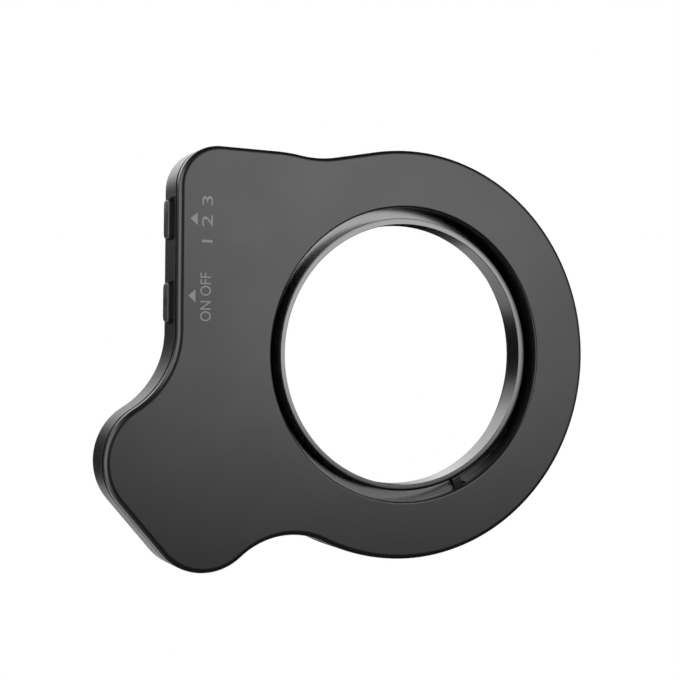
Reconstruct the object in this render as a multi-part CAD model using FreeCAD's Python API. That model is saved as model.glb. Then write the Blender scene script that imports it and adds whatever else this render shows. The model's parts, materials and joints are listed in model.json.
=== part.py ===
import FreeCAD, Part
import math
import os
from FreeCAD import Vector

# Clip-on ring light for a phone's close-up lens. Millimetres.
# X is to the right and Z is up, seen from the user's side. Y runs along the bore, from the flat rear
# cover that the user sees towards the lamp side. The origin is the middle of the lens ring's bore.
# A depth is measured along +Y from the outside of the rear cover.

# Driving dimensions: the bore and the case round it
BORE_R = 26.25
RING_WIDTH = 14.8

# The control block's straight edges stand beyond the ring's left side and below its top
LEFT_REACH = 7.15
TOP_STEP = 1.6
TOP_CORNER_R = 8.1
DIP_R = 21.1
DIP_FROM_LEFT = 28.3
DIP_DROP = 1.05
CREST_R = 33.7
CREST_FROM_LEFT = 18.95

# The lobe's two circles lie at an angle about the bore and reach beyond the ring's edge
LOBE_UPPER_ANGLE = 201.99
LOBE_UPPER_REACH = 13.3
LOBE_UPPER_R = 11.6
LOBE_LOWER_ANGLE = 215.74
LOBE_LOWER_REACH = 11.25
LOBE_LOWER_R = 11.1
NECK_LEFT_R = 17.05
NECK_BOTTOM_R = 15.6

COVER_THICKNESS = 1.4
COVER_EDGE_DEPTH = 2.2
COVER_EDGE_R = 1.0
SHADOW_GAP = 0.4
TONGUE_LENGTH = 1.1
TONGUE_THICKNESS = 0.7
WALL = 1.5
FRONT_WALL = 1.2
FRONT_EDGE_R = 0.8
SLIP = 0.05

# Two points nearer than this are taken as one
SAME = 1e-6
TOUCHING = 1e-3

# Lens ring: tube, channel and curved outer wall, turned in one piece
TUBE_WALL = 1.15
TUBE_REAR_DEPTH = 1.45
TUBE_LENGTH = 4.6
TUBE_RIM_R = 0.4
TUBE_RIM_CHAMFER = 0.15
CHANNEL_WIDTH = 2.5
CHANNEL_FLOOR_DEPTH = 4.1
CHANNEL_COVE_R = 1.9
CHANNEL_FLOOR_THICKNESS = 0.9
HOLE_GAP = 0.1
FLANGE_WIDTH = 1.0
HOLE_EDGE_R = 0.25

# Catch in the channel
CATCH_ANGLE = -65.3
CATCH_WIDTH = 2.0
CATCH_REAR_DEPTH = 2.4
CATCH_FRONT_DEPTH = 3.85
CATCH_STAND = 0.3
CATCH_GAP = 0.1
CATCH_TRAVEL = 0.6
CATCH_HEAD_WIDTH = 3.8
CATCH_HEAD_LENGTH = 1.5
CATCH_RIDGES = 3
CATCH_RIDGE_R = 0.13
CATCH_HEAD_MARGIN = 0.2
LEAF_THICKNESS = 0.2
LEAF_HALF_SPAN = 3.7
LEAF_WIDTH = 1.9
GUIDE_RIB = 1.05
STOP_LENGTH = 1.0
STOP_WIDTH = 1.6

# Lamp trough, lamps and diffuser
TROUGH_FLOOR = 1.0
TROUGH_OUTER_WALL = 1.2
COLLAR_WIDTH = 1.9
WINDOW_RIM = 2.35
FLARE_WIDTH = 0.8
FLARE_START = 0.3
LAMP_BOARD_THICKNESS = 1.0
LAMP_BOARD_GAP = 0.25
LAMP_COUNT = 24
LAMP_LENGTH = 3.5
LAMP_WIDTH = 2.8
LAMP_HEIGHT = 0.7
REFLECTOR_WALL = 0.7
REFLECTOR_FLOOR = 0.35
DIFFUSER_THICKNESS = 1.1
DIFFUSER_RECESS = 0.3
DIFFUSER_GAP = 0.1

# Screws
SCREW_R = 0.8
SCREW_HEAD_R = 1.4
SCREW_HEAD_HEIGHT = 0.8
SCREW_LENGTH = 3.4
BOSS_WALL = 1.1
HEAD_BOSS_WALL = 1.4
LAMP_SCREW_ANGLES = (30.0, 150.0, 270.0)
CASE_SCREW_ANGLES = (0.0, 90.0, 210.0, 322.5)
CASE_BOSS_SEAT = 0.9

# Snap hooks that hold the cover's edge away from the ring
HOOK_WIDTH = 5.0
HOOK_THICKNESS = 0.6
HOOK_END_DEPTH = 5.0
HOOK_NOSE_DEPTH = 4.2
HOOK_BITE = 0.35

# Control board and what is on it. Places are (from the left edge, below the top edge)
MAIN_SCREWS_AT = ((4.4, 37.55), (10.6, 17.45))
BOARD_DEPTH = 3.8
BOARD_THICKNESS = 1.0
BOARD_RIGHT_FROM_LEFT = 13.8
BOARD_BOTTOM_DROP = 40.05
BOARD_CLEARANCE = 0.8

POWER_BUTTON_DROP = 29.8
MODE_BUTTON_DROP = 13.85
BUTTON_DEPTH = 6.8
BUTTON_LENGTH = 7.35
BUTTON_WIDTH = 3.4
BUTTON_STAND = 0.55
BUTTON_TRAVEL = 0.3
BUTTON_GAP = 0.15
BUTTON_CORNER_R = 0.7
BUTTON_CHAMFER = 0.25
BUTTON_FLANGE = 0.6
BUTTON_TAB = 0.8
BUTTON_STEM_R = 0.9
POCKET_DEPTH = 0.45
POCKET_END_MARGIN = 0.45
POCKET_REAR_MARGIN = 1.3
POCKET_FRONT_MARGIN = 0.55
POCKET_SLOPE = 0.3
SWITCH_DEEP = 3.4
SWITCH_LONG = 6.0
SWITCH_TALL = 3.4
PLUNGER_R = 0.75
PLUNGER_STAND = 0.5
PLUNGER_LENGTH = 1.1

USB_FROM_LEFT = 13.0
USB_WIDTH = 8.95
USB_HEIGHT = 3.2
USB_LENGTH = 7.3
USB_SHELL_WALL = 0.3
USB_BACK_WALL = 1.0
USB_SET_BACK = 0.5
USB_GAP = 0.15
USB_TONGUE_WIDTH = 6.7
USB_TONGUE_THICKNESS = 0.7
USB_TONGUE_LENGTH = 4.5

CHARGE_LED_AT = (5.2, 6.45)
CHARGE_LED_SIZE = 1.6
CHARGE_LED_HEIGHT = 0.8
LIGHT_PIPE_R = 0.9
LIGHT_PIPE_GAP = 0.2
LIGHT_PIPE_COLLAR = 0.35

CONTROLLER_AT = (9.1, 22.05)
CONTROLLER_SIZE = 4.0
CHARGER_AT = (10.8, 12.85)
CHARGER_SIZE = 3.0
CHIP_HEIGHT = 1.0
INDUCTOR_AT = (4.8, 21.45)
INDUCTOR_R = 2.0
INDUCTOR_HEIGHT = 2.2
INDUCTOR_FLANGE = 0.45
WINDING_R = 1.7

# Battery in the lobe, its long side along the lobe's outer wall
BATTERY_THICKNESS = 5.0
BATTERY_SWELL_ROOM = 1.8
BATTERY_WIDTH = 17.0
BATTERY_END_ROOM = 3.75
BATTERY_CORNER_R = 1.4
FOLD_LENGTH = 1.2
FOLD_THICKNESS = 2.0
FOLD_INSET = 0.8
BATTERY_GAP = 1.1
PAD_THICKNESS = 0.6
PAD_INSET = 2.5
SOCKET_AT = (9.2, 36.25)
SOCKET_SIZE = (4.2, 3.4, 1.9)
SOCKET_WALL = 0.35
PLUG_LENGTH = 2.6
PLUG_PLAY = 0.5
WIRE_R = 0.35
WIRE_PITCH = 1.25
WIRE_BEND_R = 1.8
WIRE_EXIT = 2.6
WIRE_RISE = (0.6, 1.2)
WIRE_APPROACH = 3.2
WIRE_SOLDER_INSET = 1.5
WIRE_STANDOFF = 1.2
LAMP_WIRE_ANGLE = 174.0
LAMP_WIRE_BEND_R = 1.05
LAMP_WIRE_NOTCH = 4.4

# Positions worked out from the sizes above
CASE_DEPTH = COVER_THICKNESS + BATTERY_SWELL_ROOM + BATTERY_THICKNESS + PAD_THICKNESS + FRONT_WALL
REAR_Y = -(TUBE_REAR_DEPTH + TUBE_LENGTH / 2)
TUBE_R = BORE_R + TUBE_WALL
CHANNEL_WALL_R = TUBE_R + CHANNEL_WIDTH
COVER_HOLE_R = CHANNEL_WALL_R + HOLE_GAP
FLANGE_R = CHANNEL_WALL_R + FLANGE_WIDTH
SEAT_DEPTH = CHANNEL_FLOOR_DEPTH + CHANNEL_FLOOR_THICKNESS
HOUSING_DEPTH = COVER_EDGE_DEPTH + SHADOW_GAP
TONGUE_END = COVER_EDGE_DEPTH + TONGUE_LENGTH
FRONT_INNER = CASE_DEPTH - FRONT_WALL
RING_OUTER_R = BORE_R + RING_WIDTH
LEFT_EDGE_X = -RING_OUTER_R - LEFT_REACH
TOP_EDGE_Z = RING_OUTER_R - TOP_STEP
DIP_X = LEFT_EDGE_X + DIP_FROM_LEFT
CREST_X = LEFT_EDGE_X + CREST_FROM_LEFT
WINDOW_INNER_R = TUBE_R + COLLAR_WIDTH
WINDOW_OUTER_R = RING_OUTER_R - WINDOW_RIM
TROUGH_R = WINDOW_OUTER_R + TROUGH_OUTER_WALL
LAMP_BOARD_DEPTH = SEAT_DEPTH + TROUGH_FLOOR
LAMP_DEPTH = LAMP_BOARD_DEPTH + LAMP_BOARD_THICKNESS
LAMP_CIRCLE_R = (WINDOW_INNER_R + WINDOW_OUTER_R) / 2
DIFFUSER_FRONT = CASE_DEPTH - DIFFUSER_RECESS
DIFFUSER_REAR = DIFFUSER_FRONT - DIFFUSER_THICKNESS
BOARD_FACE = BOARD_DEPTH + BOARD_THICKNESS
WALL_INNER_X = LEFT_EDGE_X + WALL
BOARD_RIGHT_X = LEFT_EDGE_X + BOARD_RIGHT_FROM_LEFT
BUTTON_Z = {"power": TOP_EDGE_Z - POWER_BUTTON_DROP, "mode": TOP_EDGE_Z - MODE_BUTTON_DROP}
USB_X = LEFT_EDGE_X + USB_FROM_LEFT


def in_block(place):
    """(x, z) of a place in the control block."""
    from_left, drop = place
    return LEFT_EDGE_X + from_left, TOP_EDGE_Z - drop


def lobe_circles():
    """(x, z, radius) of the lobe's upper and lower circle."""
    upper = on_circle(RING_OUTER_R + LOBE_UPPER_REACH, LOBE_UPPER_ANGLE)
    lower = on_circle(RING_OUTER_R + LOBE_LOWER_REACH, LOBE_LOWER_ANGLE)
    return (*upper, LOBE_UPPER_R), (*lower, LOBE_LOWER_R)


def y_at(depth):
    """Y of a depth below the outside of the rear cover."""
    return REAR_Y + depth


def point(x, depth, z):
    return Vector(x, y_at(depth), z)


def tangent_outline(circles, depth):
    """Closed wire round a chain of circles (x, z, radius), counter-clockwise seen from the rear.
    A positive radius bulges outwards and a negative one is a hollow. Neighbours are joined by the
    straight line that touches both."""
    ends = []
    for (x1, z1, r1), (x2, z2, r2) in zip(circles, circles[1:] + circles[:1]):
        span = math.hypot(x2 - x1, z2 - z1)
        across = max(-1.0, min(1.0, (r1 - r2) / span))
        heading = math.atan2(z2 - z1, x2 - x1)
        normal = heading - math.acos(across)
        nx, nz = math.cos(normal), math.sin(normal)
        leave, arrive = (x1 + r1 * nx, z1 + r1 * nz), (x2 + r2 * nx, z2 + r2 * nz)
        if math.dist(leave, arrive) < TOUCHING:
            arrive = leave
        ends.append((normal, leave, arrive))
    edges = []
    for index, (x, z, r) in enumerate(circles):
        start_angle, _, start = ends[index - 1]
        end_angle, end, following = ends[index]
        sweep = (end_angle - start_angle) % (2 * math.pi)
        if r < 0:
            sweep -= 2 * math.pi
        middle = start_angle + sweep / 2
        through = (x + r * math.cos(middle), z + r * math.sin(middle))
        corners = [point(px, depth, pz) for px, pz in (start, through, end)]
        edges.append(Part.Arc(*corners).toShape())
        if following != end:
            edges.append(Part.LineSegment(corners[2], point(following[0], depth, following[1])).toShape())
    return Part.Wire(edges)


def circle_touching(first, second, radius, side):
    """Centre of a circle that touches two circles (x, z, radius) from outside."""
    (x1, z1, r1), (x2, z2, r2) = first, second
    span = math.hypot(x2 - x1, z2 - z1)
    a, b = abs(r1) + radius, abs(r2) + radius
    along = (a * a - b * b + span * span) / (2 * span)
    off = side * math.sqrt(a * a - along * along)
    ux, uz = (x2 - x1) / span, (z2 - z1) / span
    return x1 + along * ux - off * uz, z1 + along * uz + off * ux


def case_circles(inset):
    """The case's outline as a chain of circles, moved inwards by inset."""
    ring = (0.0, 0.0, RING_OUTER_R)
    dip = (DIP_X, TOP_EDGE_Z - DIP_DROP + DIP_R, -DIP_R)
    rise = math.sqrt((CREST_R + DIP_R) ** 2 - (DIP_X - CREST_X) ** 2)
    crest = (CREST_X, dip[1] - rise, CREST_R)
    corner = (LEFT_EDGE_X + TOP_CORNER_R, TOP_EDGE_Z - TOP_CORNER_R, TOP_CORNER_R)
    neck_x = LEFT_EDGE_X - NECK_LEFT_R
    lobe_upper, lobe_lower = lobe_circles()
    reach = NECK_LEFT_R + lobe_upper[2]
    neck_z = lobe_upper[1] + math.sqrt(reach ** 2 - (lobe_upper[0] - neck_x) ** 2)
    neck_left = (neck_x, neck_z, -NECK_LEFT_R)
    bottom_x, bottom_z = circle_touching(lobe_lower, ring, NECK_BOTTOM_R, -1)
    neck_bottom = (bottom_x, bottom_z, -NECK_BOTTOM_R)
    chain = [ring, dip, crest, corner, neck_left, lobe_upper, lobe_lower, neck_bottom]
    return [(x, z, r - inset) for x, z, r in chain]


def case_slab(inset, start, end):
    """The case's outline, moved inwards by inset, between two depths."""
    face = Part.Face(tangent_outline(case_circles(inset), start))
    return face.extrude(Vector(0, end - start, 0))


def disc(r, start, end, x=0.0, z=0.0):
    """Cylinder along the bore's direction between two depths."""
    return Part.makeCylinder(r, end - start, point(x, start, z), Vector(0, 1, 0))


def washer(inner, outer, start, end):
    return disc(outer, start, end).cut(disc(inner, start, end))


def block(x0, x1, start, end, z0, z1):
    return Part.makeBox(x1 - x0, end - start, z1 - z0, point(x0, start, z0))


def centred_block(at, width, height, start, end):
    """Block round the point (x, z)."""
    x, z = at
    return block(x - width / 2, x + width / 2, start, end, z - height / 2, z + height / 2)


def turned(corners):
    """Solid of revolution round the bore. Each corner is (radius, depth), or (middle, end) for an arc."""
    def place(corner):
        return point(corner[0], corner[1], 0)
    here = corners[0]
    edges = []
    for corner in corners[1:] + corners[:1]:
        if isinstance(corner[0], tuple):
            through, corner = corner
            edges.append(Part.Arc(place(here), place(through), place(corner)).toShape())
        else:
            edges.append(Part.LineSegment(place(here), place(corner)).toShape())
        here = corner
    return Part.Face(Part.Wire(edges)).revolve(Vector(0, 0, 0), Vector(0, 1, 0), 360)


def arc_corner(centre, r, start_deg, end_deg):
    """Middle and end of an arc in a turned profile; 0 degrees is outwards, 90 is deeper."""
    turn = math.radians((start_deg + end_deg) / 2)
    last = math.radians(end_deg)
    middle = (centre[0] + r * math.cos(turn), centre[1] + r * math.sin(turn))
    return middle, (centre[0] + r * math.cos(last), centre[1] + r * math.sin(last))


def round_edges(solid, r, depth):
    """Round the outer edges that lie at one depth."""
    edges = [e for e in solid.Edges if all(abs(v.Point.y - y_at(depth)) < SAME for v in e.Vertexes)]
    return solid.makeFillet(r, edges)


def spun(solid, degrees):
    """Copy turned round the bore, counter-clockwise seen from the rear."""
    turned_copy = solid.copy()
    turned_copy.rotate(Vector(0, 0, 0), Vector(0, 1, 0), -degrees)
    return turned_copy


def on_circle(r, degrees):
    return r * math.cos(math.radians(degrees)), r * math.sin(math.radians(degrees))


def join(solids):
    return solids[0].multiFuse(solids[1:]).removeSplitter()


def screw(x, z, seat, toward):
    """Pan-head screw whose head sits on the depth seat; toward is +1 when it is driven rearwards."""
    if toward > 0:
        head = disc(SCREW_HEAD_R, seat, seat + SCREW_HEAD_HEIGHT, x, z)
        shank = disc(SCREW_R, seat - SCREW_LENGTH, seat, x, z)
    else:
        head = disc(SCREW_HEAD_R, seat - SCREW_HEAD_HEIGHT, seat, x, z)
        shank = disc(SCREW_R, seat, seat + SCREW_LENGTH, x, z)
    return head.fuse(shank).removeSplitter()


def button_rectangle(x, name, grow_z, grow_rear, grow_front):
    """Rounded rectangle in the plane X = x round a button, larger by the margins."""
    z0 = BUTTON_Z[name] - BUTTON_LENGTH / 2 - grow_z
    z1 = BUTTON_Z[name] + BUTTON_LENGTH / 2 + grow_z
    y0 = y_at(BUTTON_DEPTH - BUTTON_WIDTH / 2 - grow_rear)
    y1 = y_at(BUTTON_DEPTH + BUTTON_WIDTH / 2 + grow_front)
    r = BUTTON_CORNER_R
    turn = r * (1 - math.sqrt(0.5))
    edges = []
    for (ya, za), (yb, zb), (yc, zc) in (
            ((y0, z0 + r), (y0 + turn, z0 + turn), (y0 + r, z0)),
            ((y1 - r, z0), (y1 - turn, z0 + turn), (y1, z0 + r)),
            ((y1, z1 - r), (y1 - turn, z1 - turn), (y1 - r, z1)),
            ((y0 + r, z1), (y0 + turn, z1 - turn), (y0, z1 - r))):
        start = Vector(x, ya, za)
        if edges:
            edges.append(Part.LineSegment(edges[-1].Vertexes[-1].Point, start).toShape())
        edges.append(Part.Arc(start, Vector(x, yb, zb), Vector(x, yc, zc)).toShape())
    edges.append(Part.LineSegment(edges[-1].Vertexes[-1].Point, edges[0].Vertexes[0].Point).toShape())
    return Part.Wire(edges)


def button_prism(x0, x1, name, grow):
    face = Part.Face(button_rectangle(x0, name, grow, grow, grow))
    return face.extrude(Vector(x1 - x0, 0, 0))


def button_pocket(name):
    """Shallow sloped recess round a button, and the window through the wall."""
    outer = LEFT_EDGE_X - SLIP
    bottom = LEFT_EDGE_X + POCKET_DEPTH
    wide = button_rectangle(outer, name, POCKET_END_MARGIN, POCKET_REAR_MARGIN, POCKET_FRONT_MARGIN)
    narrow = button_rectangle(bottom, name, POCKET_END_MARGIN - POCKET_SLOPE,
                              POCKET_REAR_MARGIN - POCKET_SLOPE, POCKET_FRONT_MARGIN - POCKET_SLOPE)
    recess = Part.makeLoft([wide, narrow], True, True)
    return recess.fuse(button_prism(outer, WALL_INNER_X + SLIP, name, BUTTON_GAP))


def lens_ring():
    """Turned metal ring: tube, channel with a curved outer wall, and flange under the cover."""
    tube_end = TUBE_REAR_DEPTH + TUBE_LENGTH
    cove = (CHANNEL_WALL_R - CHANNEL_COVE_R, CHANNEL_FLOOR_DEPTH - CHANNEL_COVE_R)
    rim = (TUBE_R - TUBE_RIM_R, TUBE_REAR_DEPTH + TUBE_RIM_R)
    ring = turned([
        (BORE_R, tube_end),
        (BORE_R, TUBE_REAR_DEPTH + TUBE_RIM_CHAMFER),
        (BORE_R + TUBE_RIM_CHAMFER, TUBE_REAR_DEPTH),
        (TUBE_R - TUBE_RIM_R, TUBE_REAR_DEPTH),
        arc_corner(rim, TUBE_RIM_R, -90, 0),
        (TUBE_R, CHANNEL_FLOOR_DEPTH),
        (cove[0], CHANNEL_FLOOR_DEPTH),
        arc_corner(cove, CHANNEL_COVE_R, 90, 0),
        (CHANNEL_WALL_R, COVER_THICKNESS),
        (FLANGE_R, COVER_THICKNESS),
        (FLANGE_R, SEAT_DEPTH),
        (TUBE_R, SEAT_DEPTH),
        (TUBE_R, tube_end),
    ])
    half = CATCH_WIDTH / 2 + CATCH_GAP
    slot = Part.makeBox(FLANGE_R - TUBE_R, CATCH_FRONT_DEPTH + CATCH_GAP - COVER_THICKNESS, 2 * half,
                        point(TUBE_R + CATCH_GAP, COVER_THICKNESS, -half))
    return ring.cut(spun(slot, CATCH_ANGLE))


def lens_catch():
    """Sliding catch: ridged nose through the channel's wall, and a wider head behind it."""
    cove = (CHANNEL_WALL_R - CHANNEL_COVE_R, CHANNEL_FLOOR_DEPTH - CHANNEL_COVE_R)

    def nose_r(depth):
        fall = max(0.0, depth - cove[1])
        return cove[0] + math.sqrt(CHANNEL_COVE_R ** 2 - fall ** 2) - CATCH_STAND

    head_r = FLANGE_R + 2 * CATCH_GAP
    mid = (CATCH_REAR_DEPTH + CATCH_FRONT_DEPTH) / 2
    half = CATCH_WIDTH / 2
    start = point(nose_r(CATCH_REAR_DEPTH), CATCH_REAR_DEPTH, -half)
    through = point(nose_r(mid), mid, -half)
    end = point(nose_r(CATCH_FRONT_DEPTH), CATCH_FRONT_DEPTH, -half)
    back_front = point(head_r, CATCH_FRONT_DEPTH, -half)
    back_rear = point(head_r, CATCH_REAR_DEPTH, -half)
    nose = Part.Wire([Part.Arc(start, through, end).toShape(),
                      Part.LineSegment(end, back_front).toShape(),
                      Part.LineSegment(back_front, back_rear).toShape(),
                      Part.LineSegment(back_rear, start).toShape()])
    solids = [Part.Face(nose).extrude(Vector(0, 0, CATCH_WIDTH))]
    pitch = CATCH_WIDTH / CATCH_RIDGES
    for index in range(CATCH_RIDGES):
        across = (index + 0.5) * pitch - half
        rib_end = CATCH_FRONT_DEPTH - CATCH_GAP
        foot = point(nose_r(mid), mid, across)
        run = point(nose_r(rib_end), rib_end, across) - foot
        solids.append(Part.makeCylinder(CATCH_RIDGE_R, run.Length, foot, run))
    head_half = CATCH_HEAD_WIDTH / 2
    head_depth = CATCH_FRONT_DEPTH - CATCH_REAR_DEPTH + 2 * CATCH_HEAD_MARGIN
    solids.append(Part.makeBox(CATCH_HEAD_LENGTH, head_depth, CATCH_HEAD_WIDTH,
                               point(head_r, CATCH_REAR_DEPTH - CATCH_HEAD_MARGIN, -head_half)))
    return spun(join(solids), CATCH_ANGLE)


def catch_leaf_ends():
    """Radius of the leaf's crown and of its two ends; it is arched by twice the catch's travel."""
    crown = FLANGE_R + 2 * CATCH_GAP + CATCH_HEAD_LENGTH
    return crown, crown + 2 * CATCH_TRAVEL


def catch_spring():
    """Arched leaf between the catch's head and two stops on the cover."""
    crown, foot = catch_leaf_ends()
    mid_depth = (CATCH_REAR_DEPTH + CATCH_FRONT_DEPTH) / 2
    rear = mid_depth - LEAF_WIDTH / 2

    def strip(offset):
        return [point(foot + offset, rear, -LEAF_HALF_SPAN), point(crown + offset, rear, 0),
                point(foot + offset, rear, LEAF_HALF_SPAN)]
    inner = strip(0)
    outer = strip(LEAF_THICKNESS)
    wire = Part.Wire([Part.Arc(*inner).toShape(), Part.LineSegment(inner[2], outer[2]).toShape(),
                      Part.Arc(*reversed(outer)).toShape(), Part.LineSegment(outer[0], inner[0]).toShape()])
    return spun(Part.Face(wire).extrude(Vector(0, LEAF_WIDTH, 0)), CATCH_ANGLE)


def catch_guides():
    """Ribs under the cover: two beside the catch's head and two stops behind the leaf's ends."""
    crown, foot = catch_leaf_ends()
    side = CATCH_HEAD_WIDTH / 2 + CATCH_GAP
    height = CATCH_FRONT_DEPTH + CATCH_HEAD_MARGIN - COVER_THICKNESS
    rib_length = crown - FLANGE_R - 3 * CATCH_GAP
    ribs = []
    for sign in (-1, 1):
        z0 = side if sign > 0 else -side - GUIDE_RIB
        corner = point(FLANGE_R + CATCH_GAP, COVER_THICKNESS, z0)
        ribs.append(Part.makeBox(rib_length, height, GUIDE_RIB, corner))
        corner = point(foot + LEAF_THICKNESS, COVER_THICKNESS, sign * LEAF_HALF_SPAN - STOP_WIDTH / 2)
        ribs.append(Part.makeBox(STOP_LENGTH, height, STOP_WIDTH, corner))
    return [spun(rib, CATCH_ANGLE) for rib in ribs]


def hook_places():
    """A point of the case's outer edge at the middle of each snap hook."""
    turn = math.radians(lobe_frame()[2] + 90)
    lobe_x, lobe_z, lobe_r = [(upper + lower) / 2 for upper, lower in zip(*lobe_circles())]
    return [(LEFT_EDGE_X, (BUTTON_Z["power"] + BUTTON_Z["mode"]) / 2),
            (lobe_x + lobe_r * math.cos(turn), lobe_z + lobe_r * math.sin(turn)),
            (DIP_X, TOP_EDGE_Z - DIP_DROP)]


def hook_zone(grow, inset, start, end):
    """Band along the inner wall round each hook, from a given inset inwards."""
    reach = HOOK_WIDTH / 2 + grow
    near = [disc(reach, start, end, x, z) for x, z in hook_places()]
    return case_slab(inset, start, end).common(near[0].multiFuse(near[1:]))


def snap_hooks():
    """Tabs on the cover, each with a nose that enters the housing's wall."""
    tabs = hook_zone(0, WALL, COVER_THICKNESS, HOOK_END_DEPTH)
    tabs = tabs.cut(case_slab(WALL + HOOK_THICKNESS, COVER_THICKNESS, HOOK_END_DEPTH))
    noses = hook_zone(0, WALL - HOOK_BITE, HOOK_NOSE_DEPTH, HOOK_END_DEPTH)
    noses = noses.cut(case_slab(WALL, HOOK_NOSE_DEPTH, HOOK_END_DEPTH))
    return tabs.Solids + noses.Solids


def case_screw_places():
    r = TROUGH_R - TROUGH_OUTER_WALL - SCREW_HEAD_R - LAMP_BOARD_GAP
    return [on_circle(r, angle) for angle in CASE_SCREW_ANGLES]


def rear_cover():
    """Flat plate with a rounded edge, a tongue that enters the housing, bosses and the catch's ribs."""
    plate = round_edges(case_slab(0, 0, COVER_EDGE_DEPTH), COVER_EDGE_R, 0)
    tongue = case_slab(WALL - TONGUE_THICKNESS, COVER_EDGE_DEPTH, TONGUE_END)
    shell = plate.fuse(tongue).cut(case_slab(WALL, COVER_THICKNESS, TONGUE_END))
    shell = shell.cut(disc(COVER_HOLE_R, 0, COVER_THICKNESS))
    rim = [e for e in shell.Edges
           if isinstance(e.Curve, Part.Circle) and abs(e.Curve.Radius - COVER_HOLE_R) < SAME
           and abs(e.Curve.Center.y - REAR_Y) < SAME]
    shell = shell.makeFillet(HOLE_EDGE_R, rim)
    solids = [shell] + catch_guides() + snap_hooks()
    boss_end = SEAT_DEPTH - CASE_BOSS_SEAT
    for x, z in case_screw_places():
        boss = disc(SCREW_R + BOSS_WALL, COVER_THICKNESS, boss_end, x, z)
        solids.append(boss.cut(disc(SCREW_R + SLIP, COVER_THICKNESS + SLIP, boss_end, x, z)))
    return join(solids)


def housing_bore():
    """Space inside the housing's collar: the tube's seat, then a flare to the lamp side."""
    seat_end = TUBE_REAR_DEPTH + TUBE_LENGTH + FLARE_START
    return turned([(0, SEAT_DEPTH), (TUBE_R + 2 * SLIP, SEAT_DEPTH), (TUBE_R + 2 * SLIP, seat_end),
                   (TUBE_R + FLARE_WIDTH, CASE_DEPTH), (0, CASE_DEPTH)])


def front_housing():
    """Tray with the lamp trough, collar, button windows, port, posts and screw bosses."""
    shell = round_edges(case_slab(0, HOUSING_DEPTH, CASE_DEPTH), FRONT_EDGE_R, CASE_DEPTH)
    shell = shell.cut(case_slab(WALL, HOUSING_DEPTH, FRONT_INNER))
    rebate = WALL - TONGUE_THICKNESS - SLIP
    shell = shell.cut(case_slab(rebate, HOUSING_DEPTH, TONGUE_END + SLIP))
    solids = [shell, disc(TROUGH_R, SEAT_DEPTH, CASE_DEPTH)]
    for x, z in case_screw_places():
        solids.append(disc(SCREW_HEAD_R + HEAD_BOSS_WALL, SEAT_DEPTH - CASE_BOSS_SEAT, SEAT_DEPTH, x, z))
    lamp_boss = LAMP_DEPTH - SCREW_LENGTH
    for angle in LAMP_SCREW_ANGLES:
        x, z = on_circle(LAMP_CIRCLE_R, angle)
        solids.append(disc(SCREW_R + BOSS_WALL, lamp_boss - SLIP, SEAT_DEPTH, x, z))
    for x, z in map(in_block, MAIN_SCREWS_AT):
        solids.append(disc(SCREW_R + BOSS_WALL, BOARD_FACE, FRONT_INNER, x, z))
    body = join(solids)
    cuts = [washer(WINDOW_INNER_R, WINDOW_OUTER_R, LAMP_BOARD_DEPTH, CASE_DEPTH), housing_bore()]
    cuts += [button_pocket(name) for name in BUTTON_Z]
    for x, z in case_screw_places():
        cuts.append(disc(SCREW_R + SLIP, SEAT_DEPTH - CASE_BOSS_SEAT, SEAT_DEPTH, x, z))
        cuts.append(disc(SCREW_HEAD_R + SLIP, SEAT_DEPTH, LAMP_BOARD_DEPTH, x, z))
    for angle in LAMP_SCREW_ANGLES:
        x, z = on_circle(LAMP_CIRCLE_R, angle)
        cuts.append(disc(SCREW_R + SLIP, lamp_boss, LAMP_BOARD_DEPTH, x, z))
    for x, z in map(in_block, MAIN_SCREWS_AT):
        cuts.append(disc(SCREW_R + SLIP, BOARD_FACE, BOARD_DEPTH + SCREW_LENGTH + SLIP, x, z))
    cuts.append(usb_prism(USB_GAP, TOP_EDGE_Z - WALL - BOARD_CLEARANCE, TOP_EDGE_Z + SLIP))
    cuts.append(disc(LIGHT_PIPE_R + SLIP, FRONT_INNER, CASE_DEPTH, *in_block(CHARGE_LED_AT)))
    cuts.append(lamp_wire_slot())
    cuts.append(hook_zone(SLIP, WALL - HOOK_BITE - SLIP, HOOK_NOSE_DEPTH - SLIP, HOOK_END_DEPTH + SLIP))
    return body.cut(cuts)


def lamp_wire_slot():
    """Notch in the reflector and the trough's outer wall where the lamp wires leave."""
    start = WINDOW_OUTER_R - LAMP_BOARD_GAP - 3 * REFLECTOR_WALL
    notch = Part.makeBox(TROUGH_R + SLIP - start, 4 * WIRE_R, LAMP_WIRE_NOTCH,
                         point(start, LAMP_DEPTH, -LAMP_WIRE_NOTCH / 2))
    return spun(notch, LAMP_WIRE_ANGLE)


def usb_depth():
    """Depth of the port's middle: the shell stands on the board's face."""
    return BOARD_FACE + USB_HEIGHT / 2


def usb_prism(grow, z0, z1):
    """Rounded port section, larger by grow, between two heights."""
    r = USB_HEIGHT / 2 + grow
    reach = USB_WIDTH / 2 - USB_HEIGHT / 2
    depth = usb_depth()
    sides = [(USB_X - reach, depth - r), (USB_X + reach, depth - r), (USB_X + reach, depth + r),
             (USB_X - reach, depth + r)]
    low_left, low_right, high_right, high_left = [point(x, d, z0) for x, d in sides]
    right = point(USB_X + reach + r, depth, z0)
    left = point(USB_X - reach - r, depth, z0)
    wire = Part.Wire([Part.LineSegment(low_left, low_right).toShape(),
                      Part.Arc(low_right, right, high_right).toShape(),
                      Part.LineSegment(high_right, high_left).toShape(),
                      Part.Arc(high_left, left, low_left).toShape()])
    return Part.Face(wire).extrude(Vector(0, 0, z1 - z0))


def usb_shell():
    top = TOP_EDGE_Z - USB_SET_BACK
    outer = usb_prism(0, top - USB_LENGTH, top)
    return outer.cut(usb_prism(-USB_SHELL_WALL, top - USB_LENGTH + USB_BACK_WALL, top))


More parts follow.
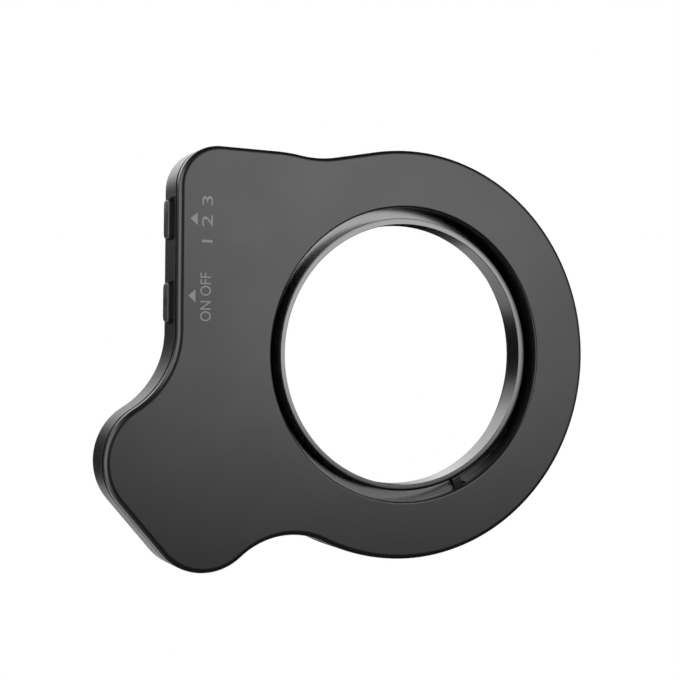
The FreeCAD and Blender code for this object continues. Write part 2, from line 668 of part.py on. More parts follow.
def usb_tongue():
    root = TOP_EDGE_Z - USB_SET_BACK - USB_LENGTH + USB_BACK_WALL
    return block(USB_X - USB_TONGUE_WIDTH / 2, USB_X + USB_TONGUE_WIDTH / 2,
                 usb_depth() - USB_TONGUE_THICKNESS / 2, usb_depth() + USB_TONGUE_THICKNESS / 2,
                 root, root + USB_TONGUE_LENGTH)


def lamp_angles():
    step = 360.0 / LAMP_COUNT
    return [(index + 0.5) * step for index in range(LAMP_COUNT)]


def lamp_block(angle, grow, start, end):
    """Block over one lamp's footprint, larger by grow."""
    length, width = LAMP_LENGTH + 2 * grow, LAMP_WIDTH + 2 * grow
    box = Part.makeBox(length, end - start, width,
                       point(LAMP_CIRCLE_R - length / 2, start, -width / 2))
    return spun(box, angle)


def led_board():
    board = washer(WINDOW_INNER_R + LAMP_BOARD_GAP, WINDOW_OUTER_R - LAMP_BOARD_GAP,
                   LAMP_BOARD_DEPTH, LAMP_DEPTH)
    holes = [disc(SCREW_R + SLIP, LAMP_BOARD_DEPTH, LAMP_DEPTH, *on_circle(LAMP_CIRCLE_R, angle))
             for angle in LAMP_SCREW_ANGLES]
    return board.cut(holes)


def lamps(parity):
    """Every second lamp of the ring, as separate solids."""
    chosen = lamp_angles()[parity::2]
    top = LAMP_DEPTH + LAMP_HEIGHT
    return Part.makeCompound([lamp_block(angle, 0, LAMP_DEPTH, top) for angle in chosen])


def reflector_ring():
    """White frame: floor with a pocket round each lamp, and a wall at each side."""
    inner = WINDOW_INNER_R + LAMP_BOARD_GAP
    outer = WINDOW_OUTER_R - LAMP_BOARD_GAP
    frame = turned([(inner, LAMP_DEPTH), (outer, LAMP_DEPTH), (outer, DIFFUSER_REAR),
                    (outer - REFLECTOR_WALL, DIFFUSER_REAR),
                    (outer - 2 * REFLECTOR_WALL, LAMP_DEPTH + REFLECTOR_FLOOR),
                    (inner + 2 * REFLECTOR_WALL, LAMP_DEPTH + REFLECTOR_FLOOR),
                    (inner + REFLECTOR_WALL, DIFFUSER_REAR), (inner, DIFFUSER_REAR)])
    top = LAMP_DEPTH + LAMP_HEIGHT
    cuts = [lamp_block(angle, LAMP_BOARD_GAP, LAMP_DEPTH, top) for angle in lamp_angles()]
    cuts += [disc(SCREW_HEAD_R + LAMP_BOARD_GAP, LAMP_DEPTH, top, *on_circle(LAMP_CIRCLE_R, angle))
             for angle in LAMP_SCREW_ANGLES]
    return frame.cut(cuts + [lamp_wire_slot()])


def diffuser_ring():
    """Milky window with softened front edges."""
    inner = WINDOW_INNER_R + DIFFUSER_GAP
    outer = WINDOW_OUTER_R - DIFFUSER_GAP
    soft = DIFFUSER_RECESS
    return turned([(inner, DIFFUSER_REAR), (outer, DIFFUSER_REAR), (outer, DIFFUSER_FRONT - soft),
                   (outer - soft, DIFFUSER_FRONT), (inner + soft, DIFFUSER_FRONT),
                   (inner, DIFFUSER_FRONT - soft)])


def lamp_screws():
    return Part.makeCompound([screw(*on_circle(LAMP_CIRCLE_R, angle), LAMP_DEPTH, 1)
                              for angle in LAMP_SCREW_ANGLES])


def case_screws():
    return Part.makeCompound([screw(x, z, SEAT_DEPTH, 1) for x, z in case_screw_places()])


def main_board():
    """Board that follows the case's inner wall at its corner."""
    edge = LEFT_EDGE_X + WALL + BOARD_CLEARANCE
    board = block(edge, BOARD_RIGHT_X, BOARD_DEPTH, BOARD_FACE,
                  TOP_EDGE_Z - BOARD_BOTTOM_DROP, TOP_EDGE_Z)
    board = board.common(case_slab(WALL + BOARD_CLEARANCE, BOARD_DEPTH, BOARD_FACE))
    holes = [disc(SCREW_R + SLIP, BOARD_DEPTH, BOARD_FACE, x, z) for x, z in map(in_block, MAIN_SCREWS_AT)]
    return board.cut(holes)


def main_board_screws():
    return Part.makeCompound([screw(x, z, BOARD_DEPTH, -1) for x, z in map(in_block, MAIN_SCREWS_AT)])


def control_chips():
    top = BOARD_FACE + CHIP_HEIGHT
    chips = (CONTROLLER_AT, CONTROLLER_SIZE), (CHARGER_AT, CHARGER_SIZE)
    return Part.makeCompound([centred_block(in_block(at), size, size, BOARD_FACE, top)
                              for at, size in chips])


def power_inductor():
    """Wound coil between two flanges."""
    top = BOARD_FACE + INDUCTOR_HEIGHT
    x, z = in_block(INDUCTOR_AT)
    return join([disc(INDUCTOR_R, BOARD_FACE, BOARD_FACE + INDUCTOR_FLANGE, x, z),
                 disc(WINDING_R, BOARD_FACE, top, x, z),
                 disc(INDUCTOR_R, top - INDUCTOR_FLANGE, top, x, z)])


def charge_led():
    return centred_block(in_block(CHARGE_LED_AT), CHARGE_LED_SIZE, CHARGE_LED_SIZE / 2,
                         BOARD_FACE, BOARD_FACE + CHARGE_LED_HEIGHT)


def charge_light_pipe():
    start = BOARD_FACE + CHARGE_LED_HEIGHT + LIGHT_PIPE_GAP
    stem = disc(LIGHT_PIPE_R, start, CASE_DEPTH, *in_block(CHARGE_LED_AT))
    collar = disc(LIGHT_PIPE_R + LIGHT_PIPE_COLLAR, FRONT_INNER - FRONT_WALL, FRONT_INNER,
                  *in_block(CHARGE_LED_AT))
    return stem.fuse(collar).removeSplitter()


def button(name):
    """Cap with a bevelled face, a tab past each end inside the wall, and a stem to the switch."""
    face = LEFT_EDGE_X - BUTTON_STAND
    back = WALL_INNER_X + SLIP
    cap = button_prism(face, back, name, 0)
    front_edges = [e for e in cap.Edges if all(abs(v.Point.x - face) < SAME for v in e.Vertexes)]
    cap = cap.makeChamfer(BUTTON_CHAMFER, front_edges)
    flange = Part.Face(button_rectangle(back, name, BUTTON_TAB, 0, 0)).extrude(Vector(BUTTON_FLANGE, 0, 0))
    foot = point(back + BUTTON_FLANGE, BUTTON_DEPTH, BUTTON_Z[name])
    stem = Part.makeCylinder(BUTTON_STEM_R, plunger_tip() - foot.x, foot, Vector(1, 0, 0))
    return join([cap, flange, stem])


def plunger_tip():
    """X where a button's stem meets its switch's plunger."""
    return WALL_INNER_X + SLIP + BUTTON_FLANGE + PLUNGER_STAND


def switch_plunger(name):
    return Part.makeCylinder(PLUNGER_R, PLUNGER_LENGTH, point(plunger_tip(), BUTTON_DEPTH, BUTTON_Z[name]),
                             Vector(1, 0, 0))


def switch_body(name):
    """Side-push switch that stands on the board, with the plunger's bore."""
    face = plunger_tip() + PLUNGER_STAND
    z = BUTTON_Z[name]
    body = block(face, face + SWITCH_DEEP, BOARD_FACE, BOARD_FACE + SWITCH_TALL,
                 z - SWITCH_LONG / 2, z + SWITCH_LONG / 2)
    bore_end = PLUNGER_LENGTH - PLUNGER_STAND + BUTTON_TRAVEL + 2 * SLIP
    bore = Part.makeCylinder(PLUNGER_R + SLIP, bore_end, point(face, BUTTON_DEPTH, z), Vector(1, 0, 0))
    return body.cut(bore)


def lobe_frame():
    """Middle of the battery, and the heading of the lobe's outer wall in degrees."""
    (ax, az, ar), (bx, bz, br) = lobe_circles()
    span = math.hypot(ax - bx, az - bz)
    heading = math.atan2(az - bz, ax - bx) - math.asin((ar - br) / span)
    tx, tz = math.cos(heading), math.sin(heading)
    nx, nz = -tz, tx
    out = TROUGH_R + BATTERY_GAP + BATTERY_WIDTH / 2
    middle = (ax * tx + az * tz + bx * tx + bz * tz) / 2
    return nx * out + tx * middle, nz * out + tz * middle, math.degrees(heading)


def battery_half_length():
    """The lobe's inner length less the room at each end of the battery, halved."""
    (ax, az, ar), (bx, bz, br) = lobe_circles()
    return (math.hypot(ax - bx, az - bz) + ar + br) / 2 - WALL - BATTERY_END_ROOM


def in_lobe(solid):
    """Move a solid from the lobe's own frame (X along the wall, Z towards it) into place."""
    x, z, heading = lobe_frame()
    moved = solid.copy()
    moved.rotate(Vector(0, 0, 0), Vector(0, 1, 0), -heading)
    moved.translate(Vector(x, 0, z))
    return moved


def battery():
    """Pouch cell with rounded long edges and its folded end."""
    start = FRONT_INNER - PAD_THICKNESS - BATTERY_THICKNESS
    half_l, half_w = battery_half_length(), BATTERY_WIDTH / 2
    cell = block(-half_l, half_l - FOLD_LENGTH, start, start + BATTERY_THICKNESS, -half_w, half_w)
    long_edges = [e for e in cell.Edges if abs(e.Vertexes[0].Point.x - e.Vertexes[1].Point.x) > half_l]
    cell = cell.makeFillet(BATTERY_CORNER_R, long_edges)
    fold_start = start + (BATTERY_THICKNESS - FOLD_THICKNESS) / 2
    fold = block(half_l - FOLD_LENGTH, half_l, fold_start, fold_start + FOLD_THICKNESS,
                 FOLD_INSET - half_w, half_w - FOLD_INSET)
    return in_lobe(cell.fuse(fold).removeSplitter())


def battery_pad():
    half_l, half_w = battery_half_length() - PAD_INSET, BATTERY_WIDTH / 2 - PAD_INSET
    return in_lobe(block(-half_l, half_l, FRONT_INNER - PAD_THICKNESS, FRONT_INNER, -half_w, half_w))


def battery_socket():
    width, height, tall = SOCKET_SIZE
    x, z = in_block(SOCKET_AT)
    socket = centred_block((x, z), width, height, BOARD_DEPTH - tall, BOARD_DEPTH)
    mouth = centred_block((x, z - PLUG_LENGTH / 2), width - 2 * SOCKET_WALL, PLUG_LENGTH,
                          BOARD_DEPTH - tall, BOARD_DEPTH - SOCKET_WALL)
    return socket.cut(mouth)


def battery_plug():
    width, height, tall = SOCKET_SIZE
    inner = width - 2 * SOCKET_WALL - 2 * SLIP
    x, z = in_block(SOCKET_AT)
    top = z - height / 2 + PLUG_LENGTH / 2
    return block(x - inner / 2, x + inner / 2, BOARD_DEPTH - tall,
                 BOARD_DEPTH - SOCKET_WALL, top - PLUG_LENGTH, top - PLUG_PLAY)


def wire_run(points):
    """Round wire along straight runs joined by bends."""
    edges = []
    here = points[0]
    for corner, after in zip(points[1:-1], points[2:]):
        into, out = (corner - here).normalize(), (after - corner).normalize()
        turn = math.acos(max(-1.0, min(1.0, into.dot(out))))
        cut = WIRE_BEND_R * math.tan(turn / 2)
        start, end = corner - into * cut, corner + out * cut
        bisector = (out - into).normalize()
        centre = corner + bisector * (WIRE_BEND_R / math.cos(turn / 2))
        through = centre - bisector * WIRE_BEND_R
        edges.append(Part.LineSegment(here, start).toShape())
        edges.append(Part.Arc(start, through, end).toShape())
        here = end
    edges.append(Part.LineSegment(here, points[-1]).toShape())
    path = Part.Wire(edges)
    section = Part.Wire(Part.makeCircle(WIRE_R, points[0], points[1] - points[0]))
    return path.makePipeShell([section], True, False)


def battery_wires():
    """Two wires from the cell's folded end to the plug, over the back of the trough's floor."""
    x, z, heading = lobe_frame()
    turn = math.radians(heading)
    end_x = x + battery_half_length() * math.cos(turn)
    end_z = z + battery_half_length() * math.sin(turn)
    socket_x, socket_z = in_block(SOCKET_AT)
    plug_end = socket_z - SOCKET_SIZE[1] / 2 - PLUG_LENGTH / 2
    mid_cell = FRONT_INNER - PAD_THICKNESS - BATTERY_THICKNESS / 2
    plug_depth = BOARD_DEPTH - SOCKET_SIZE[2] / 2
    wires = []
    for sign in (-0.5, 0.5):
        shift = sign * WIRE_PITCH
        start = point(end_x + shift * math.sin(turn), mid_cell, end_z - shift * math.cos(turn))
        out = start + Vector(math.cos(turn), 0, math.sin(turn)) * WIRE_EXIT
        plug_x = socket_x + shift
        rise = Vector(out.x + WIRE_RISE[0], y_at(plug_depth), out.z + WIRE_RISE[1])
        low = point(plug_x, plug_depth, plug_end - WIRE_APPROACH)
        wires.append(wire_run([start, out, rise, low, point(plug_x, plug_depth, plug_end)]))
    return Part.makeCompound(wires)


def led_wires():
    """Three wires from the lamp board, out through the notch and up to the control board."""
    r_start = WINDOW_OUTER_R - WIRE_SOLDER_INSET
    depth = LAMP_DEPTH + WIRE_R
    x_out = TROUGH_R + WIRE_STANDOFF
    wires = []
    for index in (-1, 0, 1):
        across = index * WIRE_PITCH
        start = point(r_start, depth, across)
        bend = point(x_out, depth, across)
        end = point(x_out, BOARD_FACE, across)
        bend_start = bend - Vector(LAMP_WIRE_BEND_R, 0, 0)
        bend_end = bend - Vector(0, LAMP_WIRE_BEND_R, 0)
        through = bend - Vector(1, 1, 0) * (LAMP_WIRE_BEND_R * (1 - math.sqrt(0.5)))
        path = Part.Wire([Part.LineSegment(start, bend_start).toShape(),
                          Part.Arc(bend_start, through, bend_end).toShape(),
                          Part.LineSegment(bend_end, end).toShape()])
        section = Part.Wire(Part.makeCircle(WIRE_R, start, Vector(1, 0, 0)))
        wires.append(spun(path.makePipeShell([section], True, False), LAMP_WIRE_ANGLE))
    return Part.makeCompound(wires)


NODES = {
    "rear_cover": rear_cover,
    "front_housing": front_housing,
    "lens_ring": lens_ring,
    "lens_catch": lens_catch,
    "catch_spring": catch_spring,
    "diffuser_ring": diffuser_ring,
    "reflector_ring": reflector_ring,
    "led_board": led_board,
    "cool_leds": lambda: lamps(0),
    "warm_leds": lambda: lamps(1),
    "led_board_screws": lamp_screws,
    "case_screws": case_screws,
    "main_board": main_board,
    "main_board_screws": main_board_screws,
    "control_chips": control_chips,
    "power_inductor": power_inductor,
    "usb_shell": usb_shell,
    "usb_tongue": usb_tongue,
    "charge_led": charge_led,
    "charge_light_pipe": charge_light_pipe,
    "battery": battery,
    "battery_pad": battery_pad,
    "battery_socket": battery_socket,
    "battery_plug": battery_plug,
    "battery_wires": battery_wires,
    "led_wires": led_wires,
    "power_button": lambda: button("power"),
    "mode_button": lambda: button("mode"),
    "power_switch": lambda: switch_body("power"),
    "mode_switch": lambda: switch_body("mode"),
    "power_switch_plunger": lambda: switch_plunger("power"),
    "mode_switch_plunger": lambda: switch_plunger("mode"),
}


def main():
    os.makedirs("parts", exist_ok=True)
    for node, make in NODES.items():
        shape = make()
        box = shape.BoundBox
        print(node, "solids", len(shape.Solids), "valid", shape.isValid(), "volume", round(shape.Volume, 2),
              "x", round(box.XMin, 2), round(box.XMax, 2), "y", round(box.YMin, 2), round(box.YMax, 2),
              "z", round(box.ZMin, 2), round(box.ZMax, 2))
        shape.exportStep("parts/%s.step" % node)


if __name__ == "__main__":
    main()
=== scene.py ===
# %% [markdown]
# # A clip-on ring light for a phone, dressed in Blender
#
# The object is a thin black case shaped like a ring with a lobe. A grey metal ring lines its bore, two
# small buttons sit in the left edge, and the far side carries a milky lamp window. The CAD frame holds
# every piece and says which body it rides on. This lesson lays smoother skins over the outer pieces, from
# the drawing's own sizes, and gives each piece its real finish.

# %% Load the frame
import json
import math

import bmesh
import bpy
from mathutils import Matrix, Vector


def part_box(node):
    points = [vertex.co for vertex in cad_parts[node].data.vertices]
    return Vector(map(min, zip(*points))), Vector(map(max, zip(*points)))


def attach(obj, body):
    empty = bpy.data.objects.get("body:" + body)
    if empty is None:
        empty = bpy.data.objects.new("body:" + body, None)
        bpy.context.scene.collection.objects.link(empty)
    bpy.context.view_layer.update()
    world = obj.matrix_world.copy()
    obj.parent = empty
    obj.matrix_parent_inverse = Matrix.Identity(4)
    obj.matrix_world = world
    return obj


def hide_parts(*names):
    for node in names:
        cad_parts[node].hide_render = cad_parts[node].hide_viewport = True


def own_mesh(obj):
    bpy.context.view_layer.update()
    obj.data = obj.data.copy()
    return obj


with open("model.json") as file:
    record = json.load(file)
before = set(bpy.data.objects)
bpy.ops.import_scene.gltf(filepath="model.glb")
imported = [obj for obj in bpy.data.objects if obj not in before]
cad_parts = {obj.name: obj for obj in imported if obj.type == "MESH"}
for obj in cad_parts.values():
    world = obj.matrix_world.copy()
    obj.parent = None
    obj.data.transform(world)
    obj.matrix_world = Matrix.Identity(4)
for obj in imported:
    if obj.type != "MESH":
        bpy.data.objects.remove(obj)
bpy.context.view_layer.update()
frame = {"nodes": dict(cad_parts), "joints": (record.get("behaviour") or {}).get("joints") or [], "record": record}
nodes = frame["nodes"]

# %% [markdown]
# ## Sizes
#
# Blender works in metres and the drawing is in millimetres, so one factor turns one into the other. A depth
# is measured from the flat rear cover into the case, and the frame says where the rear cover lies. Each
# cell names its own sizes, and those that several pieces share stand here. Most are the drawing's. Where a
# close look at the photo's shading told more than its edges, they are read from there: the channel's depth
# and corner, the rounds at the hole and the slope of the tube's rim.

# %% Shared sizes in millimetres
MM = 0.001
REAR_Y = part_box("rear_cover")[0][1] / MM
CASE_DEPTH = 10.0
COVER_THICKNESS = 1.4
WALL = 1.5
SEAT_DEPTH = 5.0
BORE_R = 26.25
TUBE_END = 6.05
SOFT_R = 0.15
SLIP = 0.05
print("rear cover at y = %.3f mm, bore radius %.2f mm" % (REAR_Y, BORE_R))

# %% [markdown]
# ## The camera
#
# The camera stands where the photographer's stood: to the left of the bore's axis, almost level with it,
# and close enough for the near edge to look larger than the far one. One matrix would place it too, but
# direction, distance and a small roll are words that a photographer would use, so they are the values here.

# %% Camera
CAMERA_AIM = (-13.54, 0.125, 2.80)
CAMERA_DISTANCE = 279.4
CAMERA_AZIMUTH = -23.52
CAMERA_ELEVATION = -0.44
CAMERA_ROLL = 0.476
LENS_MM = 74.12
SENSOR_MM = 36.0
CLIP_METRES = (0.01, 20.0)


def direction(azimuth, elevation):
    """Unit vector from the object towards azimuth and elevation; azimuth 0 is the rear cover's side."""
    a, e = math.radians(azimuth), math.radians(elevation)
    return Vector((math.sin(a) * math.cos(e), -math.cos(a) * math.cos(e), math.sin(e)))


def aim(thing, place, target, roll=0.0):
    """Put a camera or lamp at a place, in millimetres, looking at a target."""
    back = (Vector(place) - Vector(target)).normalized()
    thing.rotation_mode = "QUATERNION"
    turned = Matrix.Rotation(math.radians(roll), 3, "Z").to_quaternion()
    thing.rotation_quaternion = back.to_track_quat("Z", "Y") @ turned
    thing.location = Vector(place) * MM


scene = bpy.context.scene
scene.view_settings.view_transform = "Standard"
camera = bpy.data.objects.new("camera", bpy.data.cameras.new("camera"))
scene.collection.objects.link(camera)
camera.data.lens = LENS_MM
camera.data.sensor_width = SENSOR_MM
camera.data.clip_start, camera.data.clip_end = CLIP_METRES
camera_place = Vector(CAMERA_AIM) + direction(CAMERA_AZIMUTH, CAMERA_ELEVATION) * CAMERA_DISTANCE
aim(camera, camera_place, CAMERA_AIM, CAMERA_ROLL)
scene.camera = camera
print("camera at", tuple(round(v, 1) for v in camera_place), "mm")

# %% [markdown]
# ## The white backdrop
#
# The background of a product photo like this one is cut to pure white. A brighter world would give that
# white too, but it would wash out the black case. So the white is only what the camera, a reflection or a
# clear piece sees, through Light Path, and every other ray meets a weaker light.

# %% Backdrop
WORLD_LIGHT = 0.35


def only_seen(tree, seen, unseen):
    """Mix of two shaders: the first for camera, glossy and transmission rays, the second for the rest."""
    rays = tree.nodes.new("ShaderNodeLightPath")
    mask = rays.outputs["Is Camera Ray"]
    for kind in ("Is Glossy Ray", "Is Transmission Ray"):
        either = tree.nodes.new("ShaderNodeMath")
        either.operation = "MAXIMUM"
        tree.links.new(mask, either.inputs[0])
        tree.links.new(rays.outputs[kind], either.inputs[1])
        mask = either.outputs[0]
    mix = tree.nodes.new("ShaderNodeMixShader")
    tree.links.new(mask, mix.inputs[0])
    tree.links.new(unseen, mix.inputs[1])
    tree.links.new(seen, mix.inputs[2])
    return mix.outputs[0]


def white_light(tree, strength):
    """Plain white background shader."""
    shader = tree.nodes.new("ShaderNodeBackground")
    shader.inputs["Color"].default_value = (1.0, 1.0, 1.0, 1.0)
    shader.inputs["Strength"].default_value = strength
    return shader.outputs[0]


def make_world():
    world = bpy.data.worlds.new("studio")
    scene.world = world
    world.use_nodes = True
    tree = world.node_tree
    tree.nodes.clear()
    light = only_seen(tree, white_light(tree, 1.0), white_light(tree, WORLD_LIGHT))
    output = tree.nodes.new("ShaderNodeOutputWorld")
    tree.links.new(light, output.inputs["Surface"])


make_world()
print("world light:", WORLD_LIGHT)

# %% [markdown]
# ## Soft boxes
#
# A black satin case shows what it mirrors, so it is lit by large soft boxes and not by small hard lamps.
# Two light the cover and the side wall, and one behind draws the bore's edge. A plain fill brings the lamp
# window on the far side to its own white; reflections don't show it. Each lamp has an azimuth and elevation
# in degrees, a width and height in millimetres, and a power in watts.

# %% Soft boxes
LAMP_DISTANCE = 600.0
LAMPS = {
    "front_box": (21, 14, 340, 410, 1.25),
    "left_box": (-82, 4, 620, 760, 3.2),
    "back_box": (174, 28, 620, 230, 0.7),
    "window_fill": (180, 0, 500, 500, 1.5),
}


def make_lamp(name, azimuth, elevation, width, height, power):
    """Soft box that looks at the bore; it lights the object but the camera doesn't see it."""
    light = bpy.data.lights.new(name, "AREA")
    light.shape = "RECTANGLE"
    light.size = width * MM
    light.size_y = height * MM
    light.energy = power
    lamp = bpy.data.objects.new(name, light)
    scene.collection.objects.link(lamp)
    aim(lamp, direction(azimuth, elevation) * LAMP_DISTANCE, (0, 0, 0))
    lamp.visible_camera = False
    return lamp


lamps = {name: make_lamp(name, *setting) for name, setting in LAMPS.items()}
lamps["window_fill"].visible_glossy = False
print("lamps:", len(lamps))

# %% [markdown]
# ## The outline of the case
#
# The case's edge is a chain of arcs: the big ring, a shallow dip and crest along the top, a round corner,
# two lobes and the hollow necks between them. A Bezier curve could follow it by eye, but a designer draws
# such an outline with tangent circles, and so does this cell: each circle (x, z, radius) touches the next,
# or a straight line joins them, and a hollow one has a negative radius. Each point also keeps its outward
# normal.

# %% Outline from tangent circles
RING_OUTER_R = 41.05
LEFT_EDGE_X = -48.2
TOP_EDGE_Z = 39.45
TOP_CORNER_R = 8.1
LOBE_UPPER = (-50.4, -20.35, 11.6)
LOBE_LOWER = (-42.45, -30.55, 11.1)
NECK_LEFT_R = 17.05
NECK_BOTTOM_R = 15.6
DIP_R = 21.1
DIP_X = -19.9
DIP_DROP = 1.05
CREST_R = 33.7
CREST_X = -29.25
POINT_STEP = 0.7
SAME_POINT = POINT_STEP / 10
LEAST_STEPS = 4


def touching_circle(first, second, radius, side):
    """Centre of a circle that touches two circles (x, z, radius) from outside."""
    (x1, z1, r1), (x2, z2, r2) = first, second
    span = math.hypot(x2 - x1, z2 - z1)
    a, b = abs(r1) + radius, abs(r2) + radius
    along = (a * a - b * b + span * span) / (2 * span)
    off = side * math.sqrt(a * a - along * along)
    ux, uz = (x2 - x1) / span, (z2 - z1) / span
    return x1 + along * ux - off * uz, z1 + along * uz + off * ux


def case_circles():
    """The outline's circles in their order, counter-clockwise in x and z."""
    ring = (0.0, 0.0, RING_OUTER_R)
    dip = (DIP_X, TOP_EDGE_Z - DIP_DROP + DIP_R, -DIP_R)
    rise = math.sqrt((CREST_R + DIP_R) ** 2 - (DIP_X - CREST_X) ** 2)
    crest = (CREST_X, dip[1] - rise, CREST_R)
    corner = (LEFT_EDGE_X + TOP_CORNER_R, TOP_EDGE_Z - TOP_CORNER_R, TOP_CORNER_R)
    neck_x = LEFT_EDGE_X - NECK_LEFT_R
    reach = NECK_LEFT_R + LOBE_UPPER[2]
    neck_z = LOBE_UPPER[1] + math.sqrt(reach ** 2 - (LOBE_UPPER[0] - neck_x) ** 2)
    left_neck = (neck_x, neck_z, -NECK_LEFT_R)
    bottom_neck = (*touching_circle(LOBE_LOWER, ring, NECK_BOTTOM_R, -1), -NECK_BOTTOM_R)
    return [ring, dip, crest, corner, left_neck, LOBE_UPPER, LOBE_LOWER, bottom_neck]


def shared_normals(circles):
    """Direction of the outward normal, in radians, where each circle hands over to the next."""
    normals = []
    for (x1, z1, r1), (x2, z2, r2) in zip(circles, circles[1:] + circles[:1]):
        span = math.hypot(x2 - x1, z2 - z1)
        across = max(-1.0, min(1.0, (r1 - r2) / span))
        normals.append(math.atan2(z2 - z1, x2 - x1) - math.acos(across))
    return normals


def arc_spots(circle, start, end):
    """Points on one circle, from one normal to the other."""
    x, z, r = circle
    sweep = (end - start) % (2 * math.pi) - (2 * math.pi if r < 0 else 0)
    steps = max(LEAST_STEPS, round(abs(sweep * r) / POINT_STEP))
    turns = [start + sweep * step / steps for step in range(steps + 1)]
    normals = [(math.cos(turn), math.sin(turn)) for turn in turns]
    return [(x + r * nx, z + r * nz, nx, nz) for nx, nz in normals]


def line_spots(first, second, turn):
    """Points on the straight line that touches two circles at one normal, without its ends."""
    nx, nz = math.cos(turn), math.sin(turn)
    (x1, z1), (x2, z2) = [(x + r * nx, z + r * nz) for x, z, r in (first, second)]
    steps = round(math.hypot(x2 - x1, z2 - z1) / POINT_STEP)
    shares = [step / steps for step in range(1, steps)]
    return [(x1 + (x2 - x1) * share, z1 + (z2 - z1) * share, nx, nz) for share in shares]


def outline_spots():
    """Points of the case's edge, each with its outward normal: (x, z, nx, nz)."""
    circles = case_circles()
    normals = shared_normals(circles)
    spots = []
    for index, circle in enumerate(circles):
        spots += arc_spots(circle, normals[index - 1], normals[index])
        spots += line_spots(circle, circles[(index + 1) % len(circles)], normals[index])
    kept = [spots[0]]
    for spot in spots[1:]:
        if math.dist(spot[:2], kept[-1][:2]) > SAME_POINT:
            kept.append(spot)
    if math.dist(kept[0][:2], kept[-1][:2]) < SAME_POINT:
        kept.pop()
    return kept


SPOTS = outline_spots()
print("outline:", len(SPOTS), "points")

# %% [markdown]
# ## Loops of the case
#
# Cover and housing change from the case's outline, outside, to a circle, round the bore. If both kinds of
# loop have one point for each point of the outline, they can be joined point by point. So a piece needs no
# more than a profile: (inset, depth) along the outline and (radius, depth) round the bore.

# %% Loops from profiles
def edge_loops(profile):
    """The outline moved inwards, once for each (inset, depth) of a profile."""
    return [[(x - nx * inset, REAR_Y + depth, z - nz * inset) for x, z, nx, nz in SPOTS]
            for inset, depth in profile]


def on_ray(x, z, radius, depth):
    """Point at a radius from the bore's axis, on the ray through a point of the outline."""
    far = math.hypot(x, z)
    return (x / far * radius, REAR_Y + depth, z / far * radius)


def ring_loops(profile):
    """A circle round the bore, once for each (radius, depth) of a profile."""
    return [[on_ray(x, z, radius, depth) for x, z, _, _ in SPOTS] for radius, depth in profile]


def quarter(centre, radius, start, end, steps=8):
    """Points of a quarter circle (across, depth); 0 degrees is across, 90 is deeper."""
    points = []
    for step in range(steps + 1):
        turn = math.radians(start + (end - start) * step / steps)
        points.append((centre[0] + radius * math.cos(turn), centre[1] + radius * math.sin(turn)))
    return points


print("each loop has", len(ring_loops([(BORE_R, 0.0)])[0]), "points")

# %% [markdown]
# ## Skins over loops
#
# A shell is a stack of loops joined by rows of quads, like the ribs and planks of a hull. Solidify and
# Bevel modifiers could make it too, but here every edge has its own round. A round is a few loops on a
# quarter circle, with one more loop a hair's width away on each side. Those guard loops keep the flat faces
# flat in the shading, so a highlight stops where the real edge stops.

# %% Skins, caps and turned shapes
GUARD = 0.03


def skin(loops, around=True):
    """Vertices and quads through a stack of loops; around joins the last loop to the first."""
    count = len(loops[0])
    vertices = [v for loop in loops for v in loop]
    faces = []
    rows = len(loops) if around else len(loops) - 1
    for row in range(rows):
        low, high = row * count, (row + 1) % len(loops) * count
        for i in range(count):
            j = (i + 1) % count
            faces.append((low + i, low + j, high + j, high + i))
    return vertices, faces


def capped(loops):
    """A stack of loops closed by one face at each end."""
    vertices, faces = skin(loops, around=False)
    count = len(loops[0])
    faces.append(tuple(range(count)))
    faces.append(tuple(range(len(vertices) - count, len(vertices))))
    return vertices, faces


def combined(shells):
    """Several shells as one list of vertices and faces."""
    vertices, faces = [], []
    for more, rows in shells:
        shift = len(vertices)
        vertices += more
        faces += [tuple(i + shift for i in row) for row in rows]
    return vertices, faces


def round_points(radius, steps):
    """Points (u, v) of a circle round the origin."""
    turns = [2 * math.pi * step / steps for step in range(steps)]
    return [(radius * math.cos(turn), radius * math.sin(turn)) for turn in turns]


def lathe(profile, segments=240):
    """Vertices and quads of a closed profile (radius, depth) turned round the bore."""
    return skin([[(x, REAR_Y + depth, z) for x, z in round_points(radius, segments)]
                 for radius, depth in profile])


print("guard loops lie", GUARD, "mm beside a round")

# %% [markdown]
# ## Pieces that ride
#
# A mesh becomes a piece of the object when it rides on one of the frame's bodies, wears the finish of a
# slot and stands for the plain CAD nodes that it covers. Smooth shading hides the quads, and edges above an
# angle stay crisp. Holes are cut with closed cutters, as a milling tool would cut them: building them into
# the loops would spoil the even rows, so the Boolean modifier does it.

# %% Meshes, pieces and cuts
SHARP_ANGLE = math.radians(32)


def shade(mesh):
    """Smooth shading with crisp edges."""
    mesh.polygons.foreach_set("use_smooth", [True] * len(mesh.polygons))
    mesh.set_sharp_from_angle(angle=SHARP_ANGLE)


def dress(thing, material):
    """Give an object one finish and no other."""
    thing.data.materials.clear()
    thing.data.materials.append(material)


def new_mesh(name, vertices, faces):
    """Mesh object from points in millimetres, with its faces turned outwards."""
    mesh = bpy.data.meshes.new(name)
    mesh.from_pydata([tuple(c * MM for c in v) for v in vertices], [], faces)
    cleaner = bmesh.new()
    cleaner.from_mesh(mesh)
    bmesh.ops.recalc_face_normals(cleaner, faces=cleaner.faces)
    cleaner.to_mesh(mesh)
    cleaner.free()
    shade(mesh)
    thing = bpy.data.objects.new(name, mesh)
    scene.collection.objects.link(thing)
    return thing


def new_piece(name, shape, body, slot, stands_for=()):
    """Piece that rides on a body, wears a slot's finish and stands for nodes of the frame."""
    piece = new_mesh(name, *shape)
    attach(piece, body)
    dress(piece, FINISH[slot])
    for node in stands_for:
        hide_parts(node)
    return piece


def tell(*pieces):
    """Say how many faces each piece has."""
    for piece in pieces:
        print(piece.name + ":", len(piece.data.polygons), "faces")


